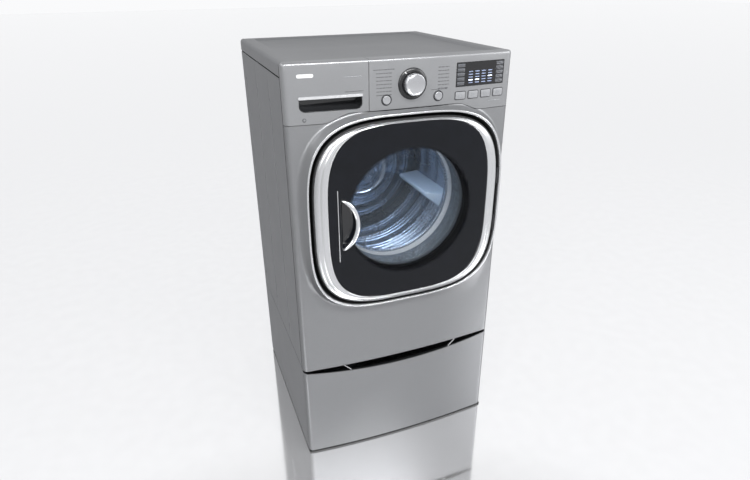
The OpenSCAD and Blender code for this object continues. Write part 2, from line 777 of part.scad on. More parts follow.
dish_r0 = 90;
cap_r = 50;
function dish_depth(r) = dish_at + (drum_back_at - dish_at) * (r - dish_r0) / (drum_r - drum_t - dish_r0);
back_t = 3;
module drum_back() color("lightsteelblue") turned(
  [[0, cap_at], [cap_r - 8, cap_at], [cap_r, cap_at + 6], [dish_r0 - 24, dish_at - 4], [dish_r0, dish_at],
   [150, dish_depth(150)], [153, dish_depth(153) + 5], [205, dish_depth(205) + 5], [208, dish_depth(208)],
   [drum_r - drum_t, drum_back_at], [drum_r - drum_t, drum_back_at + back_t],
   [208, dish_depth(208) + back_t], [204, dish_depth(205) + 5 + back_t], [154, dish_depth(153)
       + 5 + back_t],
   [150, dish_depth(150) + back_t], [dish_r0, dish_at + back_t], [dish_r0 - 25, dish_at - 4 + back_t],
   [cap_r - 2, cap_at + 6 + back_t], [cap_r - 9, cap_at + back_t], [0, cap_at + back_t]],
  drum_x, drum_z);

lifter_angles = [-20, 100, 220];
lifter_from = drum_front_at + 50;
lifter_to = drum_back_at - 40;
module lifter(i) color("lightblue") translate([drum_x, front_y, drum_z]) rotate([0, -lifter_angles[i], 0])
  intersection() {
    rotate([-90, 0, 0]) translate([0, 0, lifter_from])
      cylinder(r = drum_r - drum_t, h = lifter_to - lifter_from, $fn = 96);
    rotate([-90, 0, 0]) linear_extrude(lifter_to) polygon([
      [lifter_crest_r, -7], [lifter_crest_r, 7], [drum_r + 2, 34], [drum_r + 2, -34]
    ]);
    translate([0, 0, -50]) linear_extrude(100) polygon([
      [lifter_crest_r, lifter_from + 60], [lifter_crest_r, lifter_to - 20], [drum_r + 2, lifter_to],
      [drum_r + 2, lifter_from]
    ]);
  }
module lifter_1() lifter(0);
module lifter_2() lifter(1);
module lifter_3() lifter(2);

spider_hub_r = 40;
module drum_spider() color("darkgray") difference() {
  union() {
    rod(spider_hub_r, dish_at + spider_gap, hub_front_at - 6, drum_x, drum_z, 64);
    for (i = [0 : 2]) translate([drum_x, front_y, drum_z]) rotate([0, -lifter_angles[i], 0]) spider_arm();
  }
  rod(shaft_r, dish_at, drum_back_at, drum_x, drum_z);
}

// One arm in its own plane: x outwards, y backwards. It clears the ridge pressed into the drum's back.
spider_gap = back_t + 6;
spider_arm_w = 32;
spider_arm_r = drum_r - 12;
module spider_arm() translate([0, 0, -spider_arm_w / 2]) linear_extrude(spider_arm_w) polygon([
  [30, dish_at + spider_gap], [dish_r0, dish_at + spider_gap],
      [spider_arm_r, dish_depth(spider_arm_r) + spider_gap],
  [spider_arm_r, dish_depth(spider_arm_r) + 18], [dish_r0, dish_at + 26], [30, dish_at + 34]
]);

nut_at = tub_back_at + 62;
module drum_shaft() color("silver") rod(shaft_r, dish_at + spider_gap + 1, nut_at, drum_x, drum_z);

module rotor() color("dimgray") difference() {
  turned([[0, tub_back_at + 32], [30, tub_back_at + 32], [30, tub_back_at + 50], [130, tub_back_at + 50],
          [130, tub_back_at + 8], [138, tub_back_at + 8], [138, tub_back_at + 54], [0, tub_back_at + 54]],
         drum_x, drum_z);
  rod(shaft_r, tub_back_at, nut_at + 10, drum_x, drum_z);
}

// Door

module glass_outline(t) translate([0, glass_lift]) door_outline(glass_a + t, glass_b + t);

module door_ring() color("silver") difference() {
  union() {
    slab(ring_front + 8, 2) door_outline(ring_a, ring_b);
    slab(ring_front + 6, 2) door_outline(ring_a - 2, ring_b - 2);
    slab(ring_front - 4, 2) door_outline(ring_a - 9.5, ring_b - 6);
    slab(-cover_proud + 3, 2) glass_outline(3);
    slab(-cover_proud + 3, 2) door_outline(glass_a + 8, glass_b + 4);
  }
  slab(-100, 10) glass_outline(0);
  slab(ring_front + 12, 10) difference() {
    door_outline(ring_a - 3, ring_b - 3);
    glass_outline(3);
  }
  moving_leaves();
}

module door_cover() color("darkslategray") difference() {
  slab(-cover_proud, cover_back) glass_outline(0);
  slab(-100, 10) cup_outline(0);
}

cup_x = -half_w + 130;
cup_w = 50;
cup_arc_r = grip_h * 0.63;
cup_arc_x = cup_x + cup_w - cup_arc_r;
module cup_outline(t) intersection() {
  translate([cup_x + t, door_z - grip_h / 2 + t]) square([cup_w - 2 * t, grip_h - 2 * t]);
  translate([cup_arc_x, door_z]) circle(r = cup_arc_r - t, $fn = 96);
}

cup_depth = 26;
module handle_cup() color("black") difference() {
  slab(-cover_proud + 0.5, cover_back + cup_depth) cup_outline(0);
  slab(-100, cover_back + cup_depth - 2) cup_outline(2);
}

grip_w = 12;
grip_over = 10;
module handle_grip() color("silver") intersection() {
  slab(-grip_proud, -cover_proud) translate([cup_arc_x, door_z]) difference() {
    circle(r = cup_arc_r + grip_w / 2, $fn = 96);
    circle(r = cup_arc_r - grip_w / 2, $fn = 96);
  }
  block([cup_x + cup_w * 0.1, -100, door_z - grip_h / 2 - grip_over],
        [cup_x + cup_w + grip_w, 100, door_z + grip_h / 2 + grip_over]);
}

bowl_r = 196;
bowl_back = 104;
module door_bowl() color("lightcyan") turned(
  [[bowl_r, -12], [bowl_r, -4], [bowl_r - 5, -4], [bowl_r - 6, 0], [bowl_r - 14, 40],
  [bowl_r - 24, bowl_back - 14],
   [bowl_r - 38, bowl_back], [0, bowl_back + 6], [0, bowl_back + 1], [bowl_r - 40, bowl_back - 5],
   [bowl_r - 29, bowl_back - 15], [bowl_r - 19, 40], [bowl_r - 12, -6], [bowl_r - 12, -12]],
  drum_x, drum_z);

module door_liner() color("dimgray") difference() {
  union() {
    slab(2, 6) door_outline(ring_a - 1, ring_b - 1);
    rod(bowl_r + 6, -14, 3, drum_x, drum_z, 96);
  }
  rod(bowl_r, -15, -4, drum_x, drum_z, 96);
  rod(bowl_r - 4, -20, 20, drum_x, drum_z, 96);
}

hook_x = door_x - open_a + 30;
module door_hook() color("silver") difference() {
  block([hook_x, 6, door_z - 8], [hook_x + 6, flange_at + 26, door_z + 8]);
  block([hook_x - 1, flange_at + 8, door_z - 4], [hook_x + 7, flange_at + 18, door_z + 4]);
}

module door_lock() color("black") difference() {
  block([hook_x - 16, flange_at, door_z - 50], [hook_x + 22, flange_at + 36, door_z + 50]);
  block([hook_x - 8, flange_at - 1, door_z - 14], [hook_x + 14, flange_at + 32, door_z + 14]);
}

// Hinges: one moving knuckle between two fixed ones, twice

knuckle_half = 9;
leaf_half = 26;
leaf_t = 4;
leaf_d = 18;
module hinge_pair() for (s = [-1, 1]) translate([hinge_x, front_y + hinge_at, door_z + s *
    hinge_spread]) children();

module hinge_plates() color("dimgray") {
  hinge_pair() {
    for (s = [-1, 1]) translate([0, 0, s > 0 ? knuckle_half + touch : -leaf_half])
      cylinder(r = knuckle_r, h = leaf_half - knuckle_half - touch, $fn = 32);
    translate([0, 0, -leaf_half]) cylinder(r = hinge_pin_r, h = 2 * leaf_half, $fn = 32);
  }
  intersection() {
    hinge_pair() for (s = [-1, 1]) translate([hinge_pin_r + 0.5, 0, s > 0 ? knuckle_half + touch :
        -leaf_half])
      cube([20, leaf_d, leaf_half - knuckle_half - touch]);
    slab(-100, 20) door_outline(open_a, open_b);
  }
}

module moving_leaves() hinge_pair()
  translate([-hinge_pin_r - 0.5 - leaf_t, 0, -knuckle_half]) cube([leaf_t, leaf_d, 2 * knuckle_half]);

module hinge_leaves() color("dimgray") difference() {
  union() {
    moving_leaves();
    hinge_pair() translate([0, 0, -knuckle_half]) cylinder(r = knuckle_r, h = 2 * knuckle_half, $fn = 32);
  }
  hinge_pair() translate([0, 0, -leaf_half])
      cylinder(r = hinge_pin_r + running, h = 2 * leaf_half, $fn = 32);
}

// Pedestal

ped_back = body_d;
module pedestal_shell() color("silver") {
  difference() {
    block([-half_w, seam_back + seam, foot_h], [half_w, ped_back, pedestal_h]);
    block([-half_w + sheet, -50, foot_h + 3], [half_w - sheet, ped_back - sheet, pedestal_h - ped_top_t]);
    block([-half_w + 50, -50, foot_h - eps], [half_w - 50, ped_back - 60, foot_h + 10]);
    block([-half_w + 90, 90, pedestal_h - 10], [half_w - 90, body_d - 90, pedestal_h + eps]);
    for (x = bolt_xs, at = bolt_ats)
      translate([x, front_y + at, pedestal_h - 10]) cylinder(r = bolt_r + 0.4, h = 20, $fn = 32);
    for (x = foot_xs, at = foot_ats)
      translate([x, front_y + at, foot_h - eps]) cylinder(r = stud_r, h = 5, $fn = 32);
  }
}

module pedestal_bolts() color("silver") for (x = bolt_xs, at = bolt_ats) translate([x, front_y + at, 0]) {
  translate([0, 0, pedestal_h - 12]) cylinder(r = bolt_r, h = 16, $fn = 32);
  translate([0, 0, pedestal_h + 3]) cylinder(r = 7, h = 5, $fn = 6);
  translate([0, 0, pedestal_h - 3 - 6]) cylinder(r = 7, h = 6, $fn = 6);
}

foot_xs = [-half_w + 32, half_w - 32];
foot_ats = [60, body_d - 45];
stud_r = 6;
module pedestal_feet() color("black") for (x = foot_xs, at = foot_ats) translate([x, front_y + at, 0]) {
  cylinder(r = 18, h = foot_h, $fn = 48);
  cylinder(r = stud_r, h = foot_h + 14, $fn = 32);
}

// Top edge of the drawer's front, lowest in the middle.
function grip_edge(x) = ped_front_top - (grip_gap_mid - grip_gap_end) * (1 - pow(x / half_w, 2));

module pedestal_front() color("silver") intersection() {
  union() {
    bowed_shell(face_t, seam_back, foot_h, pedestal_h);
    difference() {
      bowed_solid(face_t / 2, seam_back, foot_h, pedestal_h);
      bowed_solid(face_t / 2 - eps, seam_back - 3, foot_h - 1, pedestal_h + 1);
    }
  }
  slab(-100, 60) polygon(concat(
    [for (i = [-12 : 12]) [half_w * i / 12 * 1.002, grip_edge(half_w * i / 12)]],
    [[half_w + 1, foot_h], [-half_w - 1, foot_h]]
  ));
}

module pedestal_tray() color("lightgray") difference() {
  block([-ped_tray_x, seam_back, ped_tray_z0], [ped_tray_x, seam_back + ped_tray_len, ped_tray_z1]);
  block([-ped_tray_x + sheet, seam_back + sheet, ped_tray_z0 + sheet],
        [ped_tray_x - sheet, seam_back + ped_tray_len - sheet, ped_tray_z1 + eps]);
}

// Slides: a C shaped rail on each side, and a member that runs in it. Each is drawn for one side,
// with w and at measured inwards from the side wall and back from the front.
rail_t = 2;
rail_lip = 6;
member_gap = 0.5;
member_end = 2;
module slide_bar(s, w0, w1, at, len, z0, z1) {
  x0 = s * (half_w - sheet - w0);
  x1 = s * (half_w - sheet - w1);
  block([min(x0, x1), seam_back + at, z0], [max(x0, x1), seam_back + at + len, z1]);
}

module slide_rails() color("silver") for (s = [-1, 1]) {
  slide_bar(s, 0, rail_t, 20, slide_len, slide_z - slide_h / 2, slide_z + slide_h / 2);
  slide_bar(s, 0, rail_lip, 20, slide_len, slide_z - slide_h / 2, slide_z - slide_h / 2 + rail_t);
  slide_bar(s, 0, rail_lip, 20, slide_len, slide_z + slide_h / 2 - rail_t, slide_z + slide_h / 2);
}

module slide_members() color("gainsboro") for (s = [-1, 1]) {
  half_h = slide_h / 2 - rail_t - member_gap;
  slide_bar(s, rail_t + member_gap, slide_w - member_gap, 20 + member_end, slide_len - 2 * member_end,
    slide_z - half_h, slide_z + half_h);
}

base_frame();
left_side();
right_side();
rear_panel();
rear_cover();
top_plate();
front_panel();
top_braces();
control_panel();
display_window();
control_board();
dispenser_housing();
inlet_valves();
drain_pump();
drain_hose();
power_gland();
door_lock();
hinge_plates();
suspension_springs();
damper_cylinders();
bellows();
pedestal_shell();
pedestal_bolts();
pedestal_feet();
slide_rails();
tub_front();
tub_rear();
counterweights();
stator();
bearing_set();
damper_rods();
drum_shell();
drum_back();
lifter_1();
lifter_2();
lifter_3();
drum_spider();
drum_shaft();
rotor();
door_ring();
door_cover();
door_bowl();
door_liner();
handle_cup();
handle_grip();
door_hook();
hinge_leaves();
programme_knob();
power_button();
start_button();
option_button_1();
option_button_2();
option_button_3();
option_button_4();
dispenser_front();
dispenser_tray();
pedestal_front();
pedestal_tray();
slide_members();
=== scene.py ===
import json
import math
import random

import bmesh
import bpy
from mathutils import Matrix, Vector


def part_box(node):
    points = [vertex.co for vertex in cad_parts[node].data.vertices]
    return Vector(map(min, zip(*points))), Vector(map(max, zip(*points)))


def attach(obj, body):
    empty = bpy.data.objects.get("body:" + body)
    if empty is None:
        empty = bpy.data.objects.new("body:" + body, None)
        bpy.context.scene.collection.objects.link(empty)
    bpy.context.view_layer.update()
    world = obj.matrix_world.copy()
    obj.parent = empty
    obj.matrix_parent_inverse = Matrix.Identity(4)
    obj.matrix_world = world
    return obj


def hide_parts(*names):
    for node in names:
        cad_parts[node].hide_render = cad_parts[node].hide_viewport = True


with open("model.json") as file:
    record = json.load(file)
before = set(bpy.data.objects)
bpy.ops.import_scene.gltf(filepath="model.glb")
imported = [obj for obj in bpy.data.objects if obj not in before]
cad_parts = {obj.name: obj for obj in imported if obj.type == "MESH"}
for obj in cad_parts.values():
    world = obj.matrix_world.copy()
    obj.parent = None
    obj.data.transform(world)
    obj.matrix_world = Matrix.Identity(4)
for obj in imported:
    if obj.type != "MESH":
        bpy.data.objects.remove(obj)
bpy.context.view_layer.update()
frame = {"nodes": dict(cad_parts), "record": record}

print("frame loaded:", len(frame["nodes"]), "nodes")

# Every shape below is drawn in millimetres as (x, depth, z). Depth counts backwards from the front edge of
# the side panels, so a negative depth stands proud of that edge.
mm = 0.001
cabinet = {
    "sideSetBack": 21.5,     # the side panels start this far behind the edge plane
    "faceBow": 18,           # how far the front faces bow forward in the middle
    "cornerRadius": 16,
    "seamBack": 20,          # where the front faces end
    "seam": 1.5,
    "lidFront": 28,
    "seamLevelHalf": 160,    # the seam over the door is level this far each way
    "seamSlope": 80,
    "squareness": 3.6,       # power of the rounded square that the door and its opening follow
    "topRound": 8,
    "doorGap": 11,
}
sideNames = {-1: "left", 1: "right"}
towardsFront, towardsBack = (0, -1, 0), (0, 1, 0)
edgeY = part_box("left_side")[0].y - cabinet["sideSetBack"] * mm


def boxOf(node):
    low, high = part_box(node)
    return [Vector((c.x / mm, (c.y - edgeY) / mm, c.z / mm)) for c in (low, high)]


halfWidth = boxOf("right_side")[1].x
backDepth = boxOf("right_side")[1].y
topZ = boxOf("top_plate")[1].z
washerZ = boxOf("front_panel")[0].z
seamMidZ = boxOf("front_panel")[1].z
seamSideZ = boxOf("dispenser_front")[0].z
ringLow, ringHigh = boxOf("door_ring")
coverLow, coverHigh = boxOf("door_cover")
doorX = (ringLow.x + ringHigh.x) / 2
doorZ = (ringLow.z + ringHigh.z) / 2
ringHalf = Vector(((ringHigh.x - ringLow.x) / 2, (ringHigh.z - ringLow.z) / 2))
glassHalf = Vector(((coverHigh.x - coverLow.x) / 2, (coverHigh.z - coverLow.z) / 2))
drumLow, drumHigh = boxOf("drum_shell")
drumX = (drumLow.x + drumHigh.x) / 2
drumZ = (drumLow.z + drumHigh.z) / 2
drumRadius = (drumHigh.x - drumLow.x) / 2


# Materials

def linearColour(code, alpha=1.0):
    parts = [int(code[i:i + 2], 16) / 255 for i in (1, 3, 5)]
    return [c / 12.92 if c <= 0.04045 else ((c + 0.055) / 1.055) ** 2.4 for c in parts] + [alpha]


def addNode(tree, kind, settings=None, links=None):
    node = tree.nodes.new("ShaderNode" + kind)
    for key, value in (settings or {}).items():
        if isinstance(key, int) or key in node.inputs:
            node.inputs[key].default_value = value
        else:
            setattr(node, key, value)
    for key, socket in (links or {}).items():
        tree.links.new(socket, node.inputs[key])
    return node


# A finish with a fine pattern in its colour, a slower drift in its roughness and a little relief.
# grain is the size of the pattern in mm, stretch lengthens it along an axis, relief is its height in mm.
def newFinish(name, colour, second, grain, relief=0.01, stretch=(1, 1, 1), drift=0.05, roughness=0.5,
              **sockets):
    material = bpy.data.materials.new(name)
    material.use_nodes = True
    tree = material.node_tree
    shader = tree.nodes["Principled BSDF"]
    place = addNode(tree, "TexCoord").outputs["Object"]
    scaled = addNode(tree, "Mapping", {"Scale": [1 / s for s in stretch]}, {"Vector": place})
    fine = addNode(tree, "TexNoise", {"Scale": 1 / (grain * mm), "Detail": 2.0},
                   {"Vector": scaled.outputs[0]})
    spread = addNode(tree, "MapRange", {1: 0.3, 2: 0.7}, {0: fine.outputs[0]})
    blend = addNode(tree, "Mix", {"data_type": "RGBA", 6: linearColour(colour),
                                            7: linearColour(second)}, {0: spread.outputs[0]})
    slow = addNode(tree, "TexNoise", {"Scale": 9.0, "Detail": 3.0}, {"Vector": place})
    rough = addNode(tree, "MapRange", {1: 0.3, 2: 0.7, 3: roughness - drift, 4: roughness + drift},
                    {0: slow.outputs[0]})
    ridge = addNode(tree, "Bump", {"Strength": 0.6, "Distance": relief * mm},
                    {"Height": fine.outputs[0]})
    tree.links.new(blend.outputs[2], shader.inputs["Base Color"])
    tree.links.new(rough.outputs[0], shader.inputs["Roughness"])
    tree.links.new(ridge.outputs[0], shader.inputs["Normal"])
    for key, value in sockets.items():
        shader.inputs[key.replace("_", " ")].default_value = value
    return material


finishes = {
    # Baked metallic enamel on pressed steel: flakes near 0.1 mm, drawn at 0.8 mm to show, under a satin coat.
    "graphite_paint": newFinish("metallicEnamel", "#7f8082", "#8c8d8f", 0.8, 0.004, roughness=0.37,
                                drift=0.015, Metallic=0.62, Specular_IOR_Level=0.35,
                                Specular_Tint=(0.3, 0.3, 0.31, 1)),
    # Metallic lacquer sprayed on moulded ABS, a shade lighter and smoother than the steel.
    "graphite_plastic": newFinish("metallicLacquer", "#8a8b8d", "#969799", 0.7, 0.003, roughness=0.33,
                                  drift=0.015, Metallic=0.62, Specular_IOR_Level=0.35,
                                  Specular_Tint=(0.4, 0.4, 0.41, 1)),
    # Hot dipped galvanised sheet: matt zinc with spangles about 9 mm across.
    "galvanised": newFinish("galvanisedSheet", "#9a9da0", "#b3b6b8", 9, 0.01, roughness=0.45, Metallic=0.85),
    # Vacuum plated plastic with a satin top coat: bright, with soft edges to its reflections.
    "silver_ring": newFinish("satinPlating", "#c9cacc", "#d2d3d5", 1.2, 0.002, roughness=0.24, drift=0.03,
                             Metallic=0.92, Coat_Weight=0.2, Coat_Roughness=0.1),
    # Black moulded ABS with a spark eroded texture of about 0.5 mm, drawn at 0.9 mm.
    "dark_plastic": newFinish("sparkTexturedAbs", "#17181a", "#1f2022", 0.9, 0.03, roughness=0.5),
    # Bright chromium plate: nearly a mirror, with faint polishing haze.
    "chrome_trim": newFinish("chromiumPlate", "#e3e4e6", "#dcdddf", 1.5, 0.001, roughness=0.08, drift=0.03,
                             Metallic=1.0),
    # Zinc plated steel as on screws and springs.
    "steel": newFinish("zincPlatedSteel", "#a9abae", "#b9bbbe", 1.2, 0.005, roughness=0.32, Metallic=1.0),
    # Cast aluminium straight from the die: grey and slightly pitted.
    "cast_alloy": newFinish("dieCastAluminium", "#8f9092", "#a2a3a5", 2.2, 0.06, roughness=0.55,
                            Metallic=0.9),
    # Moulded EPDM rubber with a dull bloom.
    "grey_rubber": newFinish("mouldedRubber", "#3b3d40", "#45474a", 1.4, 0.03, roughness=0.62),
    # Extruded black hose rubber.
    "hose_rubber": newFinish("hoseRubber", "#141516", "#1c1d1f", 1.1, 0.03, roughness=0.55),
    # Glass filled polypropylene: off white with short fibre specks.
    "tub_plastic": newFinish("glassFilledPolypropylene", "#bfc1c2", "#cdcfd0", 1.6, 0.03, stretch=(1, 3, 1),
                             roughness=0.55),
    # Injection moulded polypropylene with a cool tint and a soft gloss.
    "tray_plastic": newFinish("drawerPolypropylene", "#bcc4cf", "#c5ccd6", 1.8, 0.006, roughness=0.3,
                              Subsurface_Weight=0.1, Subsurface_Radius=(0.004, 0.004, 0.006)),
    # Sand cast iron: dark with grains of about 1.5 mm.
    "weight_iron": newFinish("sandCastIron", "#35353a", "#4a4a4e", 1.5, 0.2, roughness=0.75, Metallic=0.3),
    # Enamelled copper wire in layers, drawn as ridges 1 mm apart.
    "copper_windings": newFinish("enamelledCopper", "#7c3d1c", "#a35a2c", 1.0, 0.15, stretch=(6, 1, 6),
                                 roughness=0.35, Metallic=0.8),
    # Pressed steel with a dark phosphate skin.
    "rotor_steel": newFinish("phosphatedSteel", "#2c2d2f", "#38393b", 1.4, 0.02, roughness=0.5, Metallic=0.6),
    # Epoxy glass laminate under green solder mask.
    "board_green": newFinish("solderMask", "#0f3a1e", "#16502b", 2.5, 0.02, roughness=0.3),
    # Silver lacquer on small moulded caps: lighter than the fascia round them.
    "silver_cap": newFinish("silverLacquer", "#c8c9cb", "#d0d1d3", 0.7, 0.003, roughness=0.26, drift=0.03,
                            Metallic=0.55, Coat_Weight=0.3, Coat_Roughness=0.12),
    # Screen printed marks in grey ink with a matt, slightly broken face.
    "label_ink": newFinish("screenInk", "#4a4b4e", "#5a5b5e", 0.5, 0.004, roughness=0.6),
    # Pale pad printed badge.
    "badge_ink": newFinish("padPrintedSilver", "#e4e5e6", "#eeeeef", 0.6, 0.003, roughness=0.35,
                           Metallic=0.3),
    # Glossy black acrylic over the display.
    "display_glass": newFinish("blackAcrylic", "#06070a", "#090a0d", 3.0, 0.0005, roughness=0.07, drift=0.02,
                               Coat_Weight=0.4, Coat_Roughness=0.03),
    # Grey screen printing on the inside of the display.
    "display_print": newFinish("displayPrint", "#3b3d41", "#55575c", 1.3, 0.002, stretch=(3, 1, 1),
                               roughness=0.3),
    # Painted shade for gaps: near black with a fibre-like grain of about 0.5 mm, drawn at 1.5 mm, so that a
    # gap reads dark.
    "gap_black": newFinish("gapPaintedShade", "#0a0a0b", "#101012", 1.5, 0.05, roughness=0.85),
    # Painted shade inside the drawer's pocket: the fascia's lacquer made dark, with a clear gloss coat.
    "pocket_shade": newFinish("pocketPaintedShade", "#2a2b2d", "#323335", 0.7, 0.003, roughness=0.2,
                              Metallic=0.5, Coat_Weight=0.4, Coat_Roughness=0.1),
    # Turned aluminium cap: a satin face with fine tool marks.
    "knob_metal": newFinish("spunAluminium", "#b9babd", "#c6c7ca", 0.8, 0.003, roughness=0.24, drift=0.02,
                            Metallic=0.95),
    # Black moulded ABS with a satin face.
    "dial_black": newFinish("satinBlackAbs", "#151618", "#1c1d20", 1.0, 0.004, roughness=0.28),
    # Lacquer on the small moulded caps, a little lighter than the fascia.
    "cap_lacquer": newFinish("capLacquer", "#97989b", "#a0a1a4", 0.7, 0.003, roughness=0.32, drift=0.02,
                             Metallic=0.5),
    # Painted shade round each button: a dark frame that stands in for the shadow in the gap round each cap.
    "button_shade_frame": newFinish("buttonPaintedShade", "#303134", "#3a3b3e", 0.6, 0.003, roughness=0.4),
    # Pale grey screen printing, close to the lacquer under it.
    "faint_ink": newFinish("faintScreenInk", "#8d8f93", "#97999c", 0.6, 0.002, roughness=0.5),
    # Black moulded trim behind the ring, with a satin face.
    "skirt_black": newFinish("satinBlackTrim", "#0e0f10", "#141517", 1.0, 0.01, roughness=0.5),
    # Painted shade in the handle's cup: near black with a deep gloss.
    "handle_shade": newFinish("handleCupPaintedShade", "#0c0e12", "#10131a", 2.0, 0.002, roughness=0.12, drift=0.03,
                              Coat_Weight=0.5, Coat_Roughness=0.05),
    # Polished stainless steel: brighter than the drum round it.
    "hub_steel": newFinish("polishedStainless", "#c3cdd9", "#ccd5e0", 2.0, 0.002, roughness=0.2, drift=0.03,
                           Metallic=0.9),
    # Grey moulded rubber with a raised dot every 7 mm that keeps laundry from sticking.
    "seal_rubber": newFinish("dottedRubber", "#2b323b", "#5a6673", 7, 0.6, roughness=0.5),
}

# Lit segments behind the display, blue white like cool LEDs.
for key, name, colour, strength in (("segment_bright", "litSegment", "#dfe9ff", 2.2),
                                    ("segment_dim", "dimSegment", "#7f8aa6", 0.35)):
    finishes[key] = newFinish(name, colour, colour, 2.0, 0.0, roughness=0.4)
    glow = finishes[key].node_tree.nodes["Principled BSDF"]
    glow.inputs["Emission Color"].default_value = linearColour(colour)
    glow.inputs["Emission Strength"].default_value = strength


# Distance from the drum's axis and the angle round it, for finishes that follow the drum.
def roundDrum(tree):
    place = addNode(tree, "TexCoord").outputs["Object"]
    centred = addNode(tree, "Mapping", {"Location": (-drumX * mm, 0, -drumZ * mm)},
                      {"Vector": place})
    parts = addNode(tree, "SeparateXYZ", {}, {0: centred.outputs[0]})
    flat = addNode(tree, "CombineXYZ", {}, {0: parts.outputs[0], 2: parts.outputs[2]})
    radius = addNode(tree, "VectorMath", {"operation": "LENGTH"},
                     {0: flat.outputs[0]}).outputs["Value"]
    angle = addNode(tree, "Math", {"operation": "ARCTAN2"},
                    {0: parts.outputs[2], 1: parts.outputs[0]})
    return radius, angle.outputs[0], parts.outputs[1]


# Rolled stainless sheet with a brushed grain round the drum. The drain holes are 3.5 mm, drawn every 15 mm.
def newDrumSteel(name, holes):
    material = newFinish(name, "#8e9bab", "#a3afbd", 1.0, 0.0, roughness=0.26, drift=0.04, Metallic=0.9)
    tree = material.node_tree
    shader = tree.nodes["Principled BSDF"]
    radius, angle, depth = roundDrum(tree)
    slowAngle = addNode(tree, "Math", {"operation": "MULTIPLY", 1: 0.004}, {0: angle})
    lines = addNode(tree, "CombineXYZ", {}, {0: radius, 1: depth, 2: slowAngle.outputs[0]})
    brushed = addNode(tree, "TexNoise", {"Scale": 700.0, "Detail": 3.0},
                      {"Vector": lines.outputs[0]})
    tint = addNode(tree, "Mix", {"data_type": "RGBA", 6: linearColour("#77859a"),
                                           7: linearColour("#b4c0ce")}, {0: brushed.outputs[0]})
    ridge = addNode(tree, "Bump", {"Strength": 0.5, "Distance": 0.02 * mm},
                    {"Height": brushed.outputs[0]})
    tree.links.new(ridge.outputs[0], shader.inputs["Normal"])
    if not holes:
        tree.links.new(tint.outputs[2], shader.inputs["Base Color"])
        return material
    along = addNode(tree, "Math", {"operation": "MULTIPLY", 1: drumRadius / 15}, {0: angle})
    across = addNode(tree, "Math", {"operation": "MULTIPLY", 1: 1 / (15 * mm)}, {0: depth})
    grid = addNode(tree, "CombineXYZ", {}, {0: along.outputs[0], 1: across.outputs[0]})
    cells = addNode(tree, "TexVoronoi", {"voronoi_dimensions": "2D", "Scale": 1.0,
                                                   "Randomness": 0.0}, {"Vector": grid.outputs[0]})
    hole = addNode(tree, "MapRange", {1: 0.11, 2: 0.15}, {0: cells.outputs["Distance"]})
    pierced = addNode(tree, "Mix", {"data_type": "RGBA", 6: linearColour("#14181d")},
                      {0: hole.outputs[0], 7: tint.outputs[2]})
    tree.links.new(pierced.outputs[2], shader.inputs["Base Color"])
    return material


finishes["stainless"] = newDrumSteel("brushedStainless", False)
finishes["pierced_stainless"] = newDrumSteel("piercedStainless", True)

# Pale moulded polypropylene that lets some light through.
finishes["lifter_plastic"] = newFinish("translucentPolypropylene", "#a9bccf", "#b6c7d8", 3.0, 0.004,
                                       roughness=0.22, Subsurface_Weight=0.35,
                                       Subsurface_Radius=(0.02, 0.022, 0.03), Alpha=0.9)


# Smoked acrylic, back painted outside the window and clear in front of the bowl.
def newSmokedCover(window):
    material = newFinish("smokedAcrylic", "#0d0f13", "#101217", 40, 0.0, roughness=0.07, drift=0.02,
                         Specular_IOR_Level=0.22)
    tree = material.node_tree
    shader = tree.nodes["Principled BSDF"]
    radius = roundDrum(tree)[0]
    shade = addNode(tree, "MapRange", {
        "interpolation_type": "SMOOTHSTEP", 1: window["clearTo"] * mm, 2: window["darkFrom"] * mm,
        3: window["clearAlpha"], 4: window["darkAlpha"]}, {0: radius})
    tree.links.new(shade.outputs[0], shader.inputs["Alpha"])
    return material


finishes["smoked_cover"] = newSmokedCover({"clearTo": 188, "darkFrom": 203, "clearAlpha": 0.14,
                                           "darkAlpha": 0.985})
# Pressed clear glass: almost invisible but for its gloss.
finishes["clear_bowl"] = newFinish("pressedGlass", "#b9cadb", "#c1d0df", 30, 0.0, roughness=0.04, drift=0.01,
                                   Alpha=0.07, IOR=1.52)
print("materials made:", len(finishes))

slotOf = {part["node"]: part["material_slot"] for part in frame["record"]["subparts"]}
for node, thing in frame["nodes"].items():
    for holder in thing.material_slots:
        holder.material = finishes[slotOf[node]]


# Shapes

# A mesh in metres, in the model's own frame, from a bmesh in millimetres.
def toMesh(name, bm):
    bmesh.ops.scale(bm, vec=(mm, mm, mm), verts=bm.verts)
    bmesh.ops.translate(bm, vec=(0, edgeY, 0), verts=bm.verts)
    mesh = bpy.data.meshes.new(name)
    bm.to_mesh(mesh)
    bm.free()
    return mesh


def addObject(name, data):
    thing = bpy.data.objects.new(name, data)
    bpy.context.scene.collection.objects.link(thing)
    return thing


# Puts a finished mesh into the scene. wall gives it a thickness inwards, edge rounds its sharp edges.
def addPiece(name, bm, body, finish, stands=(), wall=0, edge=0, sharp=40):
    mesh = toMesh(name, bm)
    mesh.materials.append(finishes[finish])
    mesh.shade_smooth()
    piece = addObject(name, mesh)
    if wall:
        shell = piece.modifiers.new("wall", "SOLIDIFY")
        shell.thickness = wall * mm
        shell.offset = -1
        shell.use_even_offset = True
    if edge:
        rounded = piece.modifiers.new("edge", "BEVEL")
        rounded.width = edge * mm
        rounded.segments = 3
        rounded.limit_method = "ANGLE"
        rounded.angle_limit = math.radians(sharp)
        rounded.harden_normals = True
    else:
        mesh.set_sharp_from_angle(angle=math.radians(sharp))
    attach(piece, body)
    if stands:
        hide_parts(*stands)
    return piece


# Faces of an open surface turned towards a direction.
def faceTowards(bm, direction):
    bmesh.ops.recalc_face_normals(bm, faces=bm.faces)
    total = Vector((0, 0, 0))
    for face in bm.faces:
        total += face.normal * face.calc_area()
    if total.dot(Vector(direction)) < 0:
        bmesh.ops.reverse_faces(bm, faces=bm.faces)


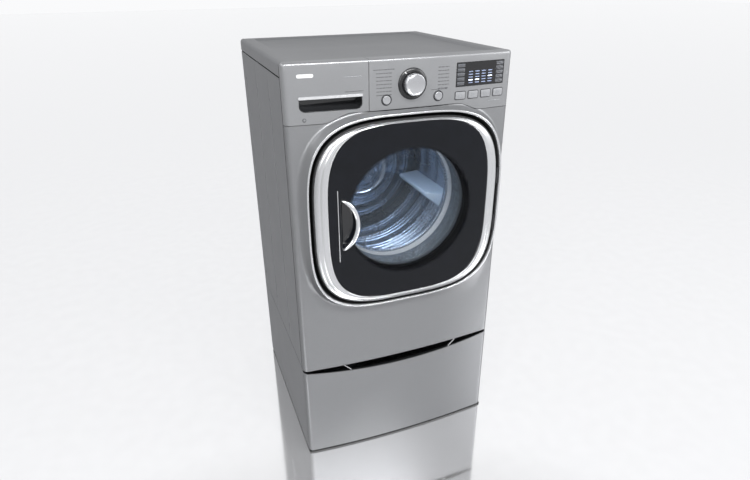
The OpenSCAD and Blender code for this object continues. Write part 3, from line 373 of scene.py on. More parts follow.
def faceInward(bm):
    centres = {face: face.calc_center_median() for face in bm.faces}
    if sum(face.normal.dot(Vector((drumX, c.y, drumZ)) - c) for face, c in centres.items()) < 0:
        bmesh.ops.reverse_faces(bm, faces=bm.faces)


def extrudeRing(bm, edges):
    grown = bmesh.ops.extrude_edge_only(bm, edges=edges)["geom"]
    verts = {g for g in grown if isinstance(g, bmesh.types.BMVert)}
    return verts, [g for g in grown if isinstance(g, bmesh.types.BMEdge) and set(g.verts) <= verts]


# Grows a surface ring by ring from a circle: each ring is a function of the turn that gives a place.
def growRings(rings, count):
    bm = bmesh.new()
    step = bm.verts.layers.int.new("step")
    bmesh.ops.create_circle(bm, segments=count, radius=1)
    for i, vert in enumerate(bm.verts):
        vert[step] = i
    verts, edges = bm.verts[:], bm.edges[:]
    for i, ring in enumerate(rings):
        if i:
            verts, edges = extrudeRing(bm, edges)
        for vert in verts:
            vert.co = ring(2 * math.pi * vert[step] / count)
    return bm, edges


# The same for an open sheet, with its faces turned towards a direction.
def growSheet(rings, count, direction=towardsFront):
    bm, _ = growRings(rings, count)
    faceTowards(bm, direction)
    return bm


# A loop or a line of points, each vert numbered in a layer so that later rings can follow it.
def startLine(points, closed=True):
    bm = bmesh.new()
    order = bm.verts.layers.int.new("order")
    verts = [bm.verts.new(point) for point in points]
    for i, vert in enumerate(verts):
        vert[order] = i
    edges = [bm.edges.new(pair) for pair in zip(verts, verts[1:] + verts[:1] if closed else verts[1:])]
    return bm, order, edges


def newBlock(width=1, deep=1, height=1):
    bm = bmesh.new()
    bmesh.ops.create_cube(bm, size=1)
    bmesh.ops.scale(bm, vec=(width, deep, height), verts=bm.verts)
    return bm


def softenEdges(bm, edges, offset, segments):
    bmesh.ops.bevel(bm, geom=edges, affect="EDGES", offset=offset, segments=segments, profile=0.5,
                    material=-1)


# Turns a piece about the middle and then carries it to its place.
def swing(bm, turn, x, depth, z):
    bmesh.ops.rotate(bm, cent=(0, 0, 0), matrix=Matrix.Rotation(-turn, 3, "Y"), verts=bm.verts)
    bmesh.ops.translate(bm, vec=(x, depth, z), verts=bm.verts)


# A recess that follows a list of loops of points and is closed at the last one.
def sinkLoops(loops):
    bm, order, edges = startLine(loops[0])
    for loop in loops[1:]:
        verts, edges = extrudeRing(bm, edges)
        for vert in verts:
            vert.co = loop[vert[order]]
    bmesh.ops.contextual_create(bm, geom=edges)
    faceTowards(bm, towardsFront)
    return bm


# Turns a profile of (radius, depth) points about the drum's axis.
def turnProfile(points, steps, x=None, z=None, closed=False):
    bm = bmesh.new()
    x = drumX if x is None else x
    z = drumZ if z is None else z
    verts = [bm.verts.new((x + r, d, z)) for r, d in points]
    edges = [bm.edges.new(pair) for pair in zip(verts, verts[1:] + verts[:1] if closed else verts[1:])]
    bmesh.ops.spin(bm, geom=verts + edges, cent=(x, 0, z), axis=(0, 1, 0), angle=2 * math.pi, steps=steps,
                   use_merge=True)
    bmesh.ops.remove_doubles(bm, verts=bm.verts, dist=0.001)
    bmesh.ops.recalc_face_normals(bm, faces=bm.faces)
    return bm


def squarish(turn, a, b, power=cabinet["squareness"]):
    c, s = math.cos(turn), math.sin(turn)
    return a * math.copysign(abs(c) ** (2 / power), c), b * math.copysign(abs(s) ** (2 / power), s)


# Rings for growRings: the rounded square round the door's middle, and a circle round the drum's axis.
def doorOutline(a, b, depth, lift=0.0):
    def ring(turn):
        x, z = squarish(turn, a, b)
        return Vector((doorX + x, depth, doorZ + z + lift))
    return ring


def roundRing(r, depth):
    def ring(turn):
        x, z = squarish(turn, r, r, 2)
        return Vector((drumX + x, depth, drumZ + z))
    return ring


def bow(x):
    return -cabinet["faceBow"] * (1 - (x / halfWidth) ** 2)


cornerX = halfWidth - cabinet["cornerRadius"]
cornerDepth = bow(cornerX) + cabinet["cornerRadius"]


# A point of the bowed plan, u along the face from the middle, with the direction into the cabinet.
def planPoint(u):
    side = 1 if u > 0 else -1
    over = abs(u) - cornerX
    if over <= 0:
        return Vector((u, bow(u))), Vector((0, 1))
    turn = over / cabinet["cornerRadius"]
    if turn < math.pi / 2:
        out = Vector((side * math.sin(turn), -math.cos(turn)))
        return Vector((side * cornerX, cornerDepth)) + out * cabinet["cornerRadius"], -out
    past = over - cabinet["cornerRadius"] * math.pi / 2
    return Vector((side * halfWidth, cornerDepth + past)), Vector((-side, 0))


planEnd = cornerX + cabinet["cornerRadius"] * math.pi / 2 + cabinet["seamBack"] - cornerDepth
topRound = cabinet["topRound"]


# Height where the front panel meets the fascia.
def seamAt(x):
    s = min(max((abs(x) - cabinet["seamLevelHalf"]) / cabinet["seamSlope"], 0), 1)
    return seamMidZ - (seamMidZ - seamSideZ) * s * s * (3 - 2 * s)


def roundedBox(x, z, w, h, r, steps=6, corners=(1, 1, 1, 1)):
    points = []
    for i, (sx, sz) in enumerate(((1, 1), (-1, 1), (-1, -1), (1, -1))):
        if not corners[i]:
            points.append((x + sx * w / 2, z + sz * h / 2))
            continue
        for k in range(steps + 1):
            a = math.pi / 2 * (i + k / steps)
            points.append((x + sx * (w / 2 - r) + r * math.cos(a), z + sz * (h / 2 - r) + r * math.sin(a)))
    return points


def circleOutline(x, z, r, steps=40):
    return [(x + r * math.cos(2 * math.pi * i / steps), z + r * math.sin(2 * math.pi * i / steps))
            for i in range(steps)]


def cutAcross(bm, place, normal):
    bmesh.ops.bisect_plane(bm, geom=bm.verts[:] + bm.edges[:] + bm.faces[:], plane_co=place, plane_no=normal,
                           dist=0.01)


# A flat sheet with holes, cut into strips and bent onto the bowed front. proud lifts it off the face.
def bentSheet(outlines, proud=0.0, rolled=False, lines=14):
    bm = bmesh.new()
    edges = []
    for outline in outlines:
        verts = [bm.verts.new((u, 0, v)) for u, v in outline]
        edges += [bm.edges.new(pair) for pair in zip(verts, verts[1:] + verts[:1])]
    bmesh.ops.triangle_fill(bm, use_beauty=True, use_dissolve=False, edges=edges, normal=(0, -1, 0))
    lowU, highU = min(v.co.x for v in bm.verts), max(v.co.x for v in bm.verts)
    cuts = [i * lines for i in range(math.ceil(lowU / lines), math.floor(highU / lines) + 1)
            if abs(i * lines) < cornerX]
    cuts += [side * (cornerX + cabinet["cornerRadius"] * math.pi / 2 * k / 6) for side in (-1, 1)
             for k in range(7)]
    for cut in cuts:
        if lowU < cut < highU:
            cutAcross(bm, (cut, 0, 0), (1, 0, 0))
    startV = topZ - topRound
    if rolled:
        for k in range(7):
            cutAcross(bm, (0, 0, startV + topRound * math.pi / 2 * k / 6), (0, 0, 1))
    for vert in bm.verts:
        place, inward = planPoint(vert.co.x)
        v = vert.co.z
        sink, z = -proud, v
        if rolled and v > startV:
            turn = min((v - startV) / topRound, math.pi / 2)
            sink = topRound * (1 - math.cos(turn))
            z = startV + topRound * math.sin(turn)
        place = place + inward * sink
        if rolled and v > startV + topRound * math.pi / 2 + 0.5:
            place.y = cabinet["lidFront"] - cabinet["seam"]
        vert.co = (place.x, place.y, z)
    bmesh.ops.remove_doubles(bm, verts=bm.verts, dist=0.02)
    bmesh.ops.dissolve_degenerate(bm, dist=0.05, edges=bm.edges)
    faceTowards(bm, towardsFront)
    return bm


rollEnd = topZ - topRound + topRound * math.pi / 2 + 20


# Front panel

panel = {
    "jambDepth": 20,
    "rimProud": 38,
    "lipRound": 3,           # rounding of the lip round the door
    "lipFlat": 3.5,
    "hillSide": 27,          # width of the slope from the lip down to the face at the sides
    "hillEnd": 15,           # the same above and below the door
    "hillCorner": 30,        # how much wider it is at the corners
    "flangeHole": 214,
    "sheet": 1.5,
    "turns": 192,
}
openHalf = ringHalf + Vector((cabinet["doorGap"], cabinet["doorGap"]))
lipWidth = panel["lipRound"] + panel["lipFlat"]


# How far a point lies outside the lip's outline, measured from the middle of the door.
def outsideLip(x, z):
    a, b = openHalf.x + lipWidth, openHalf.y + lipWidth
    reach = math.hypot(x - doorX, z - doorZ)
    dx, dz = abs(x - doorX) / reach, abs(z - doorZ) / reach
    power = cabinet["squareness"]
    edge = ((dx / a) ** power + (dz / b) ** power) ** (-1 / power)
    width = panel["hillSide"] * dx * dx + panel["hillEnd"] * dz * dz
    if x > doorX:
        width = min(width, (halfWidth - doorX - a) * dx * dx + panel["hillEnd"] * dz * dz
                    + panel["hillCorner"] * dx * dz)
    return (reach - edge) / width


def panelDepth(x, z, base):
    s = min(max(outsideLip(x, z), 0), 1)
    rise = (1 - s) ** 3 * (1 + 1.2 * s)
    return base + (-panel["rimProud"] - base) * rise


def lipRing(grow, depth):
    return doorOutline(openHalf.x + grow, openHalf.y + grow, depth)


flangeRing = roundRing(panel["flangeHole"], panel["jambDepth"])
hillSteps = [0.04, 0.1, 0.18, 0.28, 0.4, 0.54, 0.7, 0.86, 1.0]
fieldSteps = [0.25, 0.5, 0.75, 1.0]


def fieldRing(step):
    def ring(turn):
        x, z = squarish(turn, openHalf.x + lipWidth, openHalf.y + lipWidth)
        lip = Vector((doorX + x, 0, doorZ + z))
        ux, uz = squarish(turn, 1, 1)
        reach = max(abs(ux), abs(uz))
        ux, uz = ux / reach, uz / reach
        x = doorX + ux * ((cornerX - doorX) if ux > 0 else (cornerX + doorX))
        z = doorZ + uz * ((seamAt(x) - doorZ) if uz > 0 else (doorZ - washerZ))
        far = Vector((x, 0, z))
        length = (far - lip).length
        width = panel["hillSide"] * math.cos(turn) ** 2 + panel["hillEnd"] * math.sin(turn) ** 2
        hill = min(width, length * 0.7)
        if step < len(hillSteps):
            along = hill * hillSteps[step]
        else:
            along = hill + (length - hill) * fieldSteps[step - len(hillSteps)]
        place = lip + (far - lip) * (along / length)
        return Vector((place.x, panelDepth(place.x, place.z, bow(place.x)), place.z))
    return ring


def makeFrontPanel():
    r, proud = panel["lipRound"], panel["rimProud"]
    rings = [flangeRing, lipRing(-2, panel["jambDepth"]), lipRing(0, panel["jambDepth"] - 2), lipRing(0, -10),
             lipRing(0, -proud + r)]
    rings += [lipRing(r * (1 - math.cos(a)), -proud + r - r * math.sin(a)) for a in (0.4, 0.8, 1.2, 1.5708)]
    rings += [lipRing(lipWidth, -proud)]
    rings += [fieldRing(i) for i in range(len(hillSteps) + len(fieldSteps))]
    bm, _ = growRings(rings, panel["turns"])
    for side in (-1, 1):
        edges = [e for e in bm.edges if e.is_boundary and all(abs(v.co.x - side * cornerX) < 0.01
                                                              for v in e.verts)]
        for k in range(1, 8):
            verts, edges = extrudeRing(bm, edges)
            for vert in verts:
                if k < 7:
                    turn = math.pi / 2 * k / 6
                    x = side * (cornerX + cabinet["cornerRadius"] * math.sin(turn))
                    base = cornerDepth - cabinet["cornerRadius"] * math.cos(turn)
                    vert.co = (x, panelDepth(x, vert.co.z, base), vert.co.z)
                else:
                    vert.co.y = cabinet["seamBack"]
    faceTowards(bm, towardsFront)
    addPiece("frontPanel", bm, "cabinet", "graphite_paint", ["front_panel"], wall=panel["sheet"], edge=0.5,
             sharp=50)
    # A slim bright bead runs along the lip: a painted highlight for the light caught on the lip's edge.
    rings = [lipRing(0.6, -proud + 1.2), lipRing(1.2, -proud - 0.2), lipRing(2.2, -proud - 0.7),
             lipRing(3.6, -proud - 0.8), lipRing(5, -proud - 0.7), lipRing(6, -proud - 0.2),
             lipRing(6.6, -proud + 0.6)]
    bm = growSheet(rings, panel["turns"])
    addPiece("lipHighlightBead", bm, "cabinet", "silver_ring", wall=0.5, sharp=60)
    # A black sleeve lines the gap round the door: painted shade, so that the gap reads dark.
    rings = [flangeRing, lipRing(-4, panel["jambDepth"] - 3.5), lipRing(-2.2, panel["jambDepth"] - 5),
             lipRing(-1.4, -15), lipRing(-0.9, -proud + r + 1)]
    bm = growSheet(rings, panel["turns"])
    addPiece("gapShadeSleeve", bm, "cabinet", "gap_black", wall=-0.6, sharp=60)


makeFrontPanel()
print("front panel made")


# Fascia: control panel on the right, dispenser drawer on the left

splitX = boxOf("dispenser_front")[1].x + cabinet["seam"] / 2
knobLow, knobHigh = boxOf("programme_knob")
knobX, knobZ = (knobLow.x + knobHigh.x) / 2, (knobLow.z + knobHigh.z) / 2
roundButtons = ["power_button", "start_button"]
optionButtons = ["option_button_%d" % i for i in (1, 2, 3, 4)]


def middleOf(node):
    low, high = boxOf(node)
    return (low.x + high.x) / 2, (low.z + high.z) / 2, high.x - low.x, high.z - low.z


def fasciaOutline(fromU, toU, steps=40):
    us = [fromU + (toU - fromU) * i / steps for i in range(steps + 1)]
    lower = [(u, seamAt(u) + cabinet["seam"]) for u in us]
    return lower + [(toU, rollEnd), (fromU, rollEnd)]


def makeControlPanel():
    x0, z0, w, h = middleOf("display_window")
    outlines = [fasciaOutline(splitX + cabinet["seam"] / 2, planEnd), roundedBox(x0, z0, w + 0.8, h + 0.8, 2)]
    for node in roundButtons:
        x, z, w, _ = middleOf(node)
        outlines.append(circleOutline(x, z, w / 2 + 0.8))
    for node in optionButtons:
        x, z, w, h = middleOf(node)
        outlines.append(roundedBox(x, z, w + 1.2, h + 1.2, 4.5))
    bm = bentSheet(outlines, rolled=True)
    addPiece("controlPanel", bm, "cabinet", "graphite_plastic", ["control_panel"], wall=3, edge=0.6, sharp=50)


makeControlPanel()

pocket = {"x": -216.5, "z": 1220, "width": 173, "height": 38, "round": 16, "depth": 17, "lipHeight": 7,
          "lipProud": 2.6}


def pocketOutline(grow=0.0, drop=0.0):
    width, height = pocket["width"] + 2 * grow, pocket["height"] + 2 * grow - drop
    return roundedBox(pocket["x"], pocket["z"] + drop / 2, width, height, pocket["round"] + grow, steps=8,
                      corners=(0, 0, 1, 1))


def makeDrawerFront():
    bm = bentSheet([fasciaOutline(-planEnd, splitX - cabinet["seam"] / 2), pocketOutline()], rolled=True)
    addPiece("drawerFront", bm, "dispenser_drawer", "graphite_plastic", ["dispenser_front"], wall=3, edge=0.6,
             sharp=50)
    # The pocket is a scoop: its floor slopes up towards the back.
    loops = []
    for share in (0, 0.15, 0.35, 0.6, 0.85, 1.0):
        outline = pocketOutline(-2.5 * share ** 3, 16 * share ** 2)
        loops.append([(x, bow(x) + 1 + (pocket["depth"] - bow(x) - 1) * share, z) for x, z in outline])
    bm = sinkLoops(loops)
    addPiece("drawerPocket", bm, "dispenser_drawer", "pocket_shade", wall=-1.5)
    # A bright strip runs along the top of the pocket: a painted highlight on its upper edge.
    lipZ = pocket["z"] + pocket["height"] / 2 - 0.5
    bm = bentSheet([roundedBox(pocket["x"], lipZ, pocket["width"] + 1, pocket["lipHeight"], 1.2)],
                   proud=pocket["lipProud"])
    addPiece("pocketHighlightLip", bm, "dispenser_drawer", "silver_cap", wall=4, edge=1.4)


makeDrawerFront()


# Display, with a lighter printed strip at each end and four columns of bars, set out in shares of its size
display = {"stripAt": 0.405, "stripPitch": 0.185, "stripWidth": 0.15, "barPitch": (0.135, 0.115),
           "barStart": 0.36, "barWidth": 0.085, "barHeight": 2.6, "lit": {(0, 1), (1, 1), (3, 2)}}


def makeDisplay():
    x0, z0, w, h = middleOf("display_window")
    bm = bentSheet([roundedBox(x0, z0, w - 0.4, h - 0.4, 1.5)], proud=0.4)
    addPiece("displayPane", bm, "cabinet", "display_glass", ["display_window"], wall=2.5, edge=0.4)
    for side in (-1, 1):
        for k in range(5):
            x, z = x0 + side * w * display["stripAt"], z0 + (k - 2) * h * display["stripPitch"]
            bm = bentSheet([roundedBox(x, z, w * display["stripWidth"], h * display["stripWidth"], 1.0)],
                           proud=0.55)
            addPiece("displayStrip_%s_%d" % (sideNames[side], k + 1), bm, "cabinet", "display_print",
                     wall=0.2)
    for column in range(4):
        for row in range(5):
            x = x0 + (column - 1.5) * w * display["barPitch"][0]
            z = z0 - h * display["barStart"] + row * h * display["barPitch"][1]
            bm = bentSheet([roundedBox(x, z, w * display["barWidth"], display["barHeight"], 0.8)], proud=0.55)
            kind = "segment_bright" if (column, row) in display["lit"] else "segment_dim"
            addPiece("displayBar_%d_%d" % (column + 1, row + 1), bm, "cabinet", kind,
                     wall=0.2)


makeDisplay()


# Round and square buttons, each in a dark surround of painted shade
def makeButtons():
    for node in roundButtons:
        x, z, w, _ = middleOf(node)
        face = boxOf(node)[0].y
        r = w / 2
        profile = [(r - 0.2, face + 10), (r - 0.2, face + 1.4), (r - 0.8, face + 0.4), (r - 2, face),
                   (r - 4.5, face + 0.5), (r - 7, face + 0.9), (0, face + 1.1)]
        bm = turnProfile(profile, 48, x, z)
        addPiece("cap_" + node.split("_")[0], bm, node, "cap_lacquer", [node], sharp=60)
        # A dark surround round the cap: painted shade for the gap round it.
        profile = [(r + 3.4, bow(x) + 1), (r + 3.2, bow(x) - 1.2), (r + 2.4, bow(x) - 1.8),
                   (r + 1.0, bow(x) - 1.2), (r + 0.4, bow(x) + 2)]
        bm = turnProfile(profile, 48, x, z)
        addPiece("surround_" + node.split("_")[0], bm, "cabinet", "button_shade_frame",
                 sharp=60)
        bm = turnProfile([(r + 0.6, bow(x) + 1.5), (r - 0.4, bow(x) + 1.5)], 48, x, z)
        faceTowards(bm, towardsFront)
        addPiece("shadowGap_" + node.split("_")[0], bm, "cabinet", "gap_black",
                 wall=0.5)
    for node in optionButtons:
        x, z, w, h = middleOf(node)
        number = node[-1]
        bm = newBlock(w - 3, 7, h - 3)
        upright = [e for e in bm.edges if abs(e.verts[0].co.y - e.verts[1].co.y) > 1]
        softenEdges(bm, upright, 3, 5)
        front = [e for e in bm.edges if all(v.co.y < -3 for v in e.verts)]
        softenEdges(bm, front, 1.2, 3)
        bmesh.ops.translate(bm, vec=(x, bow(x) + 1.4, z), verts=bm.verts)
        for vert in bm.verts:
            vert.co.y += bow(vert.co.x) - bow(x)
        addPiece("optionCap_" + number, bm, node, "cap_lacquer", [node], sharp=60)
        # A dark frame round the cap: painted shade for the gap round it.
        bm = bentSheet([roundedBox(x, z, w + 1.6, h + 1.6, 5), roundedBox(x, z, w - 2.4, h - 2.4, 3)],
                       proud=0.5)
        addPiece("optionFrame_" + number, bm, "cabinet", "button_shade_frame", wall=3,
                 edge=0.4)
        for k, (rise, width) in enumerate(((3.2, 15), (-0.4, 19), (-4, 12))):
            bm = bentSheet([roundedBox(x, z + rise, width, 1.5, 0.5, steps=2)], proud=2.6)
            addPiece("optionMark_%s_%d" % (number, k + 1), bm, node, "faint_ink",
                     wall=0.25)


makeButtons()


# Programme knob on its black dial
dial = {"radius": 43, "pointerTurn": 127}


def makeKnob():
    face = boxOf("programme_knob")[0].y
    base = bow(knobX)
    r = (knobHigh.x - knobLow.x) / 2
    profile = [(r - 0.6, face + 19.6), (r, face + 17), (r - 1.0, face + 4.5), (r - 1.8, face + 2),
               (r - 3.2, face + 0.5), (r - 4.4, face), (r - 5.6, face + 0.8), (r - 9, face + 1.9),
               (r - 15, face + 3), (r - 22, face + 3.8), (0, face + 4.2)]
    bm = turnProfile(profile, 96, knobX, knobZ)
    addPiece("knobCap", bm, "programme_knob", "knob_metal", ["programme_knob"], sharp=60)
    rim = dial["radius"]
    profile = [(rim, base + 2), (rim, base - 1.5), (rim - 1.2, base - 3), (rim - 4, base - 4.4),
               (r + 4, base - 6), (r + 2.2, base - 6), (r + 1.2, base - 5), (r + 1.0, base - 2),
               (0, base - 2)]
    bm = turnProfile(profile, 96, knobX, knobZ)
    addPiece("dialRing", bm, "cabinet", "dial_black", sharp=60)
    bm = newBlock(9, 1, 2.2)
    softenEdges(bm, bm.edges[:], 0.35, 2)
    bmesh.ops.translate(bm, vec=(rim - 5.4, 0, 0), verts=bm.verts)
    swing(bm, math.radians(dial["pointerTurn"]), knobX, base - 5.3, knobZ)
    addPiece("dialPointer", bm, "cabinet", "badge_ink", sharp=60)


makeKnob()


# Printed marks: short dashes in rows, with no lettering. Each row is its middle, its height and its width.
marks = {
    "seed": 7,
    "dash": (4, 11),         # least and greatest length
    "dashHeight": 2.1,
    "space": 1.6,
    "groups": {
        "programmesLeft": ("cabinet", "label_ink",
                           [(-68, 1300 - 9.6 * k, 44 if k else 60) for k in range(8)]),
        "programmesRight": ("cabinet", "label_ink", [(112, 1297 - 9.6 * k, 34) for k in range(7)]),
        "startRow": ("cabinet", "label_ink", [(100, 1237, 50)]),
        "underDisplay": ("cabinet", "faint_ink", [(288, 1190, 40)]),
        "edgeMark": ("cabinet", "faint_ink", [(327, 1268, 6), (327, 1263, 6)]),
        "drawerTop": ("dispenser_drawer", "faint_ink", [(-155, 1287, 46)]),
        "drawerLower": ("dispenser_drawer", "label_ink", [(-152, 1249, 50)]),
    },
    "badge": (-283, 1295, 44, 9, 4.4),
}


def makeMarks():
    random.seed(marks["seed"])
    for name, (body, finish, rows) in marks["groups"].items():
        bm = None
        for x, z, width in rows:
            at = x - width / 2
            while at < x + width / 2 - 2:
                long = min(random.uniform(*marks["dash"]), x + width / 2 - at)
                mark = bentSheet([roundedBox(at + long / 2, z, long, marks["dashHeight"], 0.5, steps=2)],
                                 proud=0.25)
                if bm is None:
                    bm = mark
                else:
                    spare = bpy.data.meshes.new("spare")
                    mark.to_mesh(spare)
                    mark.free()
                    bm.from_mesh(spare)
                    bpy.data.meshes.remove(spare)
                at += long + marks["space"]
        addPiece("marks_" + name, bm, body, finish, wall=0.2)
    bm = bentSheet([roundedBox(*marks["badge"])], proud=0.5)
    addPiece("badge", bm, "dispenser_drawer", "badge_ink", wall=0.7, edge=0.25)
    bm = bentSheet([circleOutline(-291, 1181, 5.5, 32), circleOutline(-290, 1181.5, 2.8, 24)], proud=0.25)
    addPiece("drawerDot", bm, "dispenser_drawer", "label_ink", wall=0.2)


makeMarks()
print("controls made")


# Sides: sheet steel with three upright grooves pressed in

sidePanel = {"grooveDepth": 8, "grooves": [188, 393, 603], "from": 60, "to": 80,
             "sheet": 1.5, "fade": 26, "frontGap": 7, "topGap": 2.2}


def makeSide(node, side):
    low, high = boxOf(node)
    low.y += sidePanel["frontGap"]
    high.z -= sidePanel["topGap"]
    depths = [low.y, low.y + 1.2]
    for groove in sidePanel["grooves"]:
        depths += [groove + way * away for way in (-1, 1) for away in (16, 5, 4, 2.2)]
    depths = sorted(depths + [high.y - 1.2, high.y])
    z0, z1 = low.z + sidePanel["from"], high.z - sidePanel["to"]
    heights = [low.z] + [z0 + i * sidePanel["fade"] / 3 for i in range(4)] + [(z0 + z1) / 2]
    heights += [z1 - i * sidePanel["fade"] / 3 for i in (3, 2, 1, 0)] + [high.z]
    bm = bmesh.new()
    bmesh.ops.create_grid(bm, x_segments=len(depths) - 1, y_segments=len(heights) - 1, size=1)
    for vert in bm.verts:
        i = round((vert.co.x + 1) / 2 * (len(depths) - 1))
        j = round((vert.co.y + 1) / 2 * (len(heights) - 1))
        depth, z = depths[i], heights[j]
        sink = 0
        for groove in sidePanel["grooves"]:
            away = depth - groove
            if abs(away) < 4.5:
                sink = sidePanel["grooveDepth"] * (1 if abs(away) < 3 else 0.75)
        fade = min(1, max(0, min(z - z0, z1 - z) / sidePanel["fade"]))
        vert.co = (side * (halfWidth - sink * fade), depth, z)
    faceTowards(bm, (side, 0, 0))
    addPiece("sidePanel_" + (sideNames[side]), bm, "cabinet", "graphite_paint", [node],
             wall=sidePanel["sheet"], edge=0.5, sharp=50)


makeSide("left_side", -1)
makeSide("right_side", 1)


# Black strips behind the joints between the side panels, the front and the top: painted shade that makes the
# seams read dark
def makeJointShadeStrips():
    low, high = boxOf("left_side")
    for side in (-1, 1):
        for name, corners in (("upright", ((low.y - 6, low.z + 2), (low.y + 8, topZ - 12))),
                              ("level", ((low.y + 8, high.z - 6), (high.y - 4, high.z + 5)))):
            (d0, z0), (d1, z1) = corners
            x = side * (halfWidth - 2.6)
            bm = bmesh.new()
            bm.faces.new([bm.verts.new(p) for p in ((x, d0, z0), (x, d1, z0), (x, d1, z1), (x, d0, z1))])
            faceTowards(bm, (side, 0, 0))
            addPiece("jointShadeStrip_%s_%s" % (name, sideNames[side]), bm, "cabinet", "gap_black",
                     wall=0.8)


makeJointShadeStrips()


# Painted shade: a black plinth, set in a little, fills the gap over the floor so that it reads as the shadow
# under the cabinet
plinthShade = {"inset": 1.5, "floorGap": 0.4}


def makePlinthShade():
    bottom = boxOf("pedestal_front")[0].z
    inset, floorGap = plinthShade["inset"], plinthShade["floorGap"]
    xs = [(i / 12 - 1) * (halfWidth - inset) for i in range(25)]
    places = [(x, bow(x) + inset) for x in xs] + [(xs[-1], backDepth - inset), (xs[0], backDepth - inset)]
    bm = bmesh.new()
    face = bm.faces.new([bm.verts.new((x, depth, floorGap)) for x, depth in places])
    grown = bmesh.ops.extrude_face_region(bm, geom=[face])["geom"]
    for vert in (g for g in grown if isinstance(g, bmesh.types.BMVert)):
        vert.co.z = bottom - floorGap
    bmesh.ops.recalc_face_normals(bm, faces=bm.faces)
    addPiece("plinthShade", bm, "cabinet", "gap_black")


makePlinthShade()


# Top plate: rounded long edges, and a rim raised on three sides of a flat that runs out at the front
topPlate = {"round": 10, "rim": 46, "rearRim": 20, "rise": 6, "slope": 7, "sheet": 1.5}


def makeTopPlate():
    low, high = boxOf("top_plate")
    r, w = topPlate["round"], halfWidth
    half = [(w, low.z), (w, topZ - r)]
    half += [(w - r * (1 - math.cos(math.pi / 2 * k / 6)), topZ - r + r * math.sin(math.pi / 2 * k / 6))
             for k in range(1, 7)]
    inner = w - topPlate["rim"]
    slope = topPlate["slope"]
    half += [(inner + slope * 0.8, topZ), (inner + slope * 0.45, topZ - 0.5)]
    flatFrom = len(half)
    half += [(inner + slope * 0.1, topZ - 2.2), (inner - slope * 0.3, topZ - 5.2),
             (inner - slope * 0.8, topZ - 6), (inner * 0.6, topZ - 6), (inner * 0.2, topZ - 6)]
    across = half + [(-x, z) for x, z in reversed(half)]
    rear = high.y - topPlate["rearRim"]
    rows = [(low.y + 60, 0), (low.y + 300, 0), (rear - slope * 0.8, 0), (rear - slope * 0.3, 0.13),
            (rear + slope * 0.1, 0.63), (rear + slope * 0.45, 0.92), (rear + slope * 0.8, 1), (high.y - 3, 1)]
    bm, order, edges = startLine([(x, low.y, z) for x, z in across], closed=False)

    def lift(i, raised):
        z = across[i][1]
        return z + (topZ - z) * raised if min(i, len(across) - 1 - i) >= flatFrom - 1 else z

    for depth, raised in rows:
        verts, edges = extrudeRing(bm, edges)
        for vert in verts:
            vert.co.y = depth
            vert.co.z = lift(vert[order], raised)
    for back, drop in ((1.6, 0.8), (2.6, 2.4), (3.0, 6), (3.0, topZ - low.z)):
        verts, edges = extrudeRing(bm, edges)
        for vert in verts:
            vert.co.y = high.y - 3 + back
            vert.co.z = max(low.z, lift(vert[order], 1) - drop)
    bmesh.ops.remove_doubles(bm, verts=bm.verts, dist=0.01)
    faceTowards(bm, (0, 0, 1))
    addPiece("topPlate", bm, "cabinet", "graphite_paint", ["top_plate"], wall=topPlate["sheet"], edge=0.5,
             sharp=50)


makeTopPlate()


# Pedestal front: a bowed steel face with a finger edge along its top, and two bright fins in the gap over it
pedestal = {"gripEnd": 25, "finX": 182, "wall": 3}


def makePedestalFront():
    low, high = boxOf("pedestal_front")

    def edgeAt(u):
        return high.z - pedestal["gripEnd"] * (1 - min(abs(u) / halfWidth, 1) ** 2)

    us = [-planEnd + 2 * planEnd * i / 60 for i in range(61)]
    bm = bentSheet([[(-planEnd, low.z), (planEnd, low.z)] + [(u, edgeAt(u)) for u in reversed(us)]])
    addPiece("pedestalFront", bm, "pedestal_drawer", "graphite_paint", ["pedestal_front"],
             wall=pedestal["wall"], edge=1.3, sharp=50)
    # The hollow behind the finger edge is lined in black.
    xs = [(i / 20 - 1) * (halfWidth - 8) for i in range(41)]
    bm, _, edges = startLine([(x, bow(x) + 2.6, edgeAt(x) - 5) for x in xs], closed=False)
    verts, edges = extrudeRing(bm, edges)
    for vert in verts:
        vert.co = (vert.co.x, cabinet["seamBack"] - 1, vert.co.z - 9)
    faceTowards(bm, (0, 0, 1))
    addPiece("fingerLedge", bm, "pedestal_drawer", "dark_plastic", wall=1.5)
    for side in (-1, 1):
        x = side * pedestal["finX"]
        bm = newBlock()
        for vert in bm.verts:
            top = vert.co.z > 0
            lean = side * 26 if top else 0
            z = (high.z + 7) if top else edgeAt(x) + 0.5
            vert.co = (x + lean + vert.co.x * 2.4, bow(x + lean) + 5 + vert.co.y * 5, z)
        softenEdges(bm, bm.edges[:], 0.7, 2)
        addPiece("gapFin_" + (sideNames[side]), bm, "cabinet", "silver_cap",
                 sharp=60)


makePedestalFront()
print("cabinet made")


# Door

door = {
    "ringTurns": 192,
    # share of the way from the glass to the ring's outer edge, and the depth there
    "ringProfile": [(0.0, -44), (0.0, -51.2), (0.03, -52.4), (0.08, -52.8), (0.3, -52), (0.5, -50.2),
                    (0.54, -48.6), (0.58, -48.4), (0.8, -45.4), (0.9, -42.6), (0.96, -39), (0.99, -35.5),
                    (1.0, -33)],
    "skirtProfile": [(0.985, -34), (0.995, -31), (1.0, -28), (1.0, 1.4), (0.97, 2), (0.9, 2)],
    "domeRise": 3,
    "coverTurns": 160,
    "coverShares": [0.995, 0.98, 0.95, 0.9, 0.84, 0.76, 0.66, 0.54, 0.4, 0.26, 0.12, 0.02],
}


glassLift = (coverLow.z + coverHigh.z) / 2 - doorZ


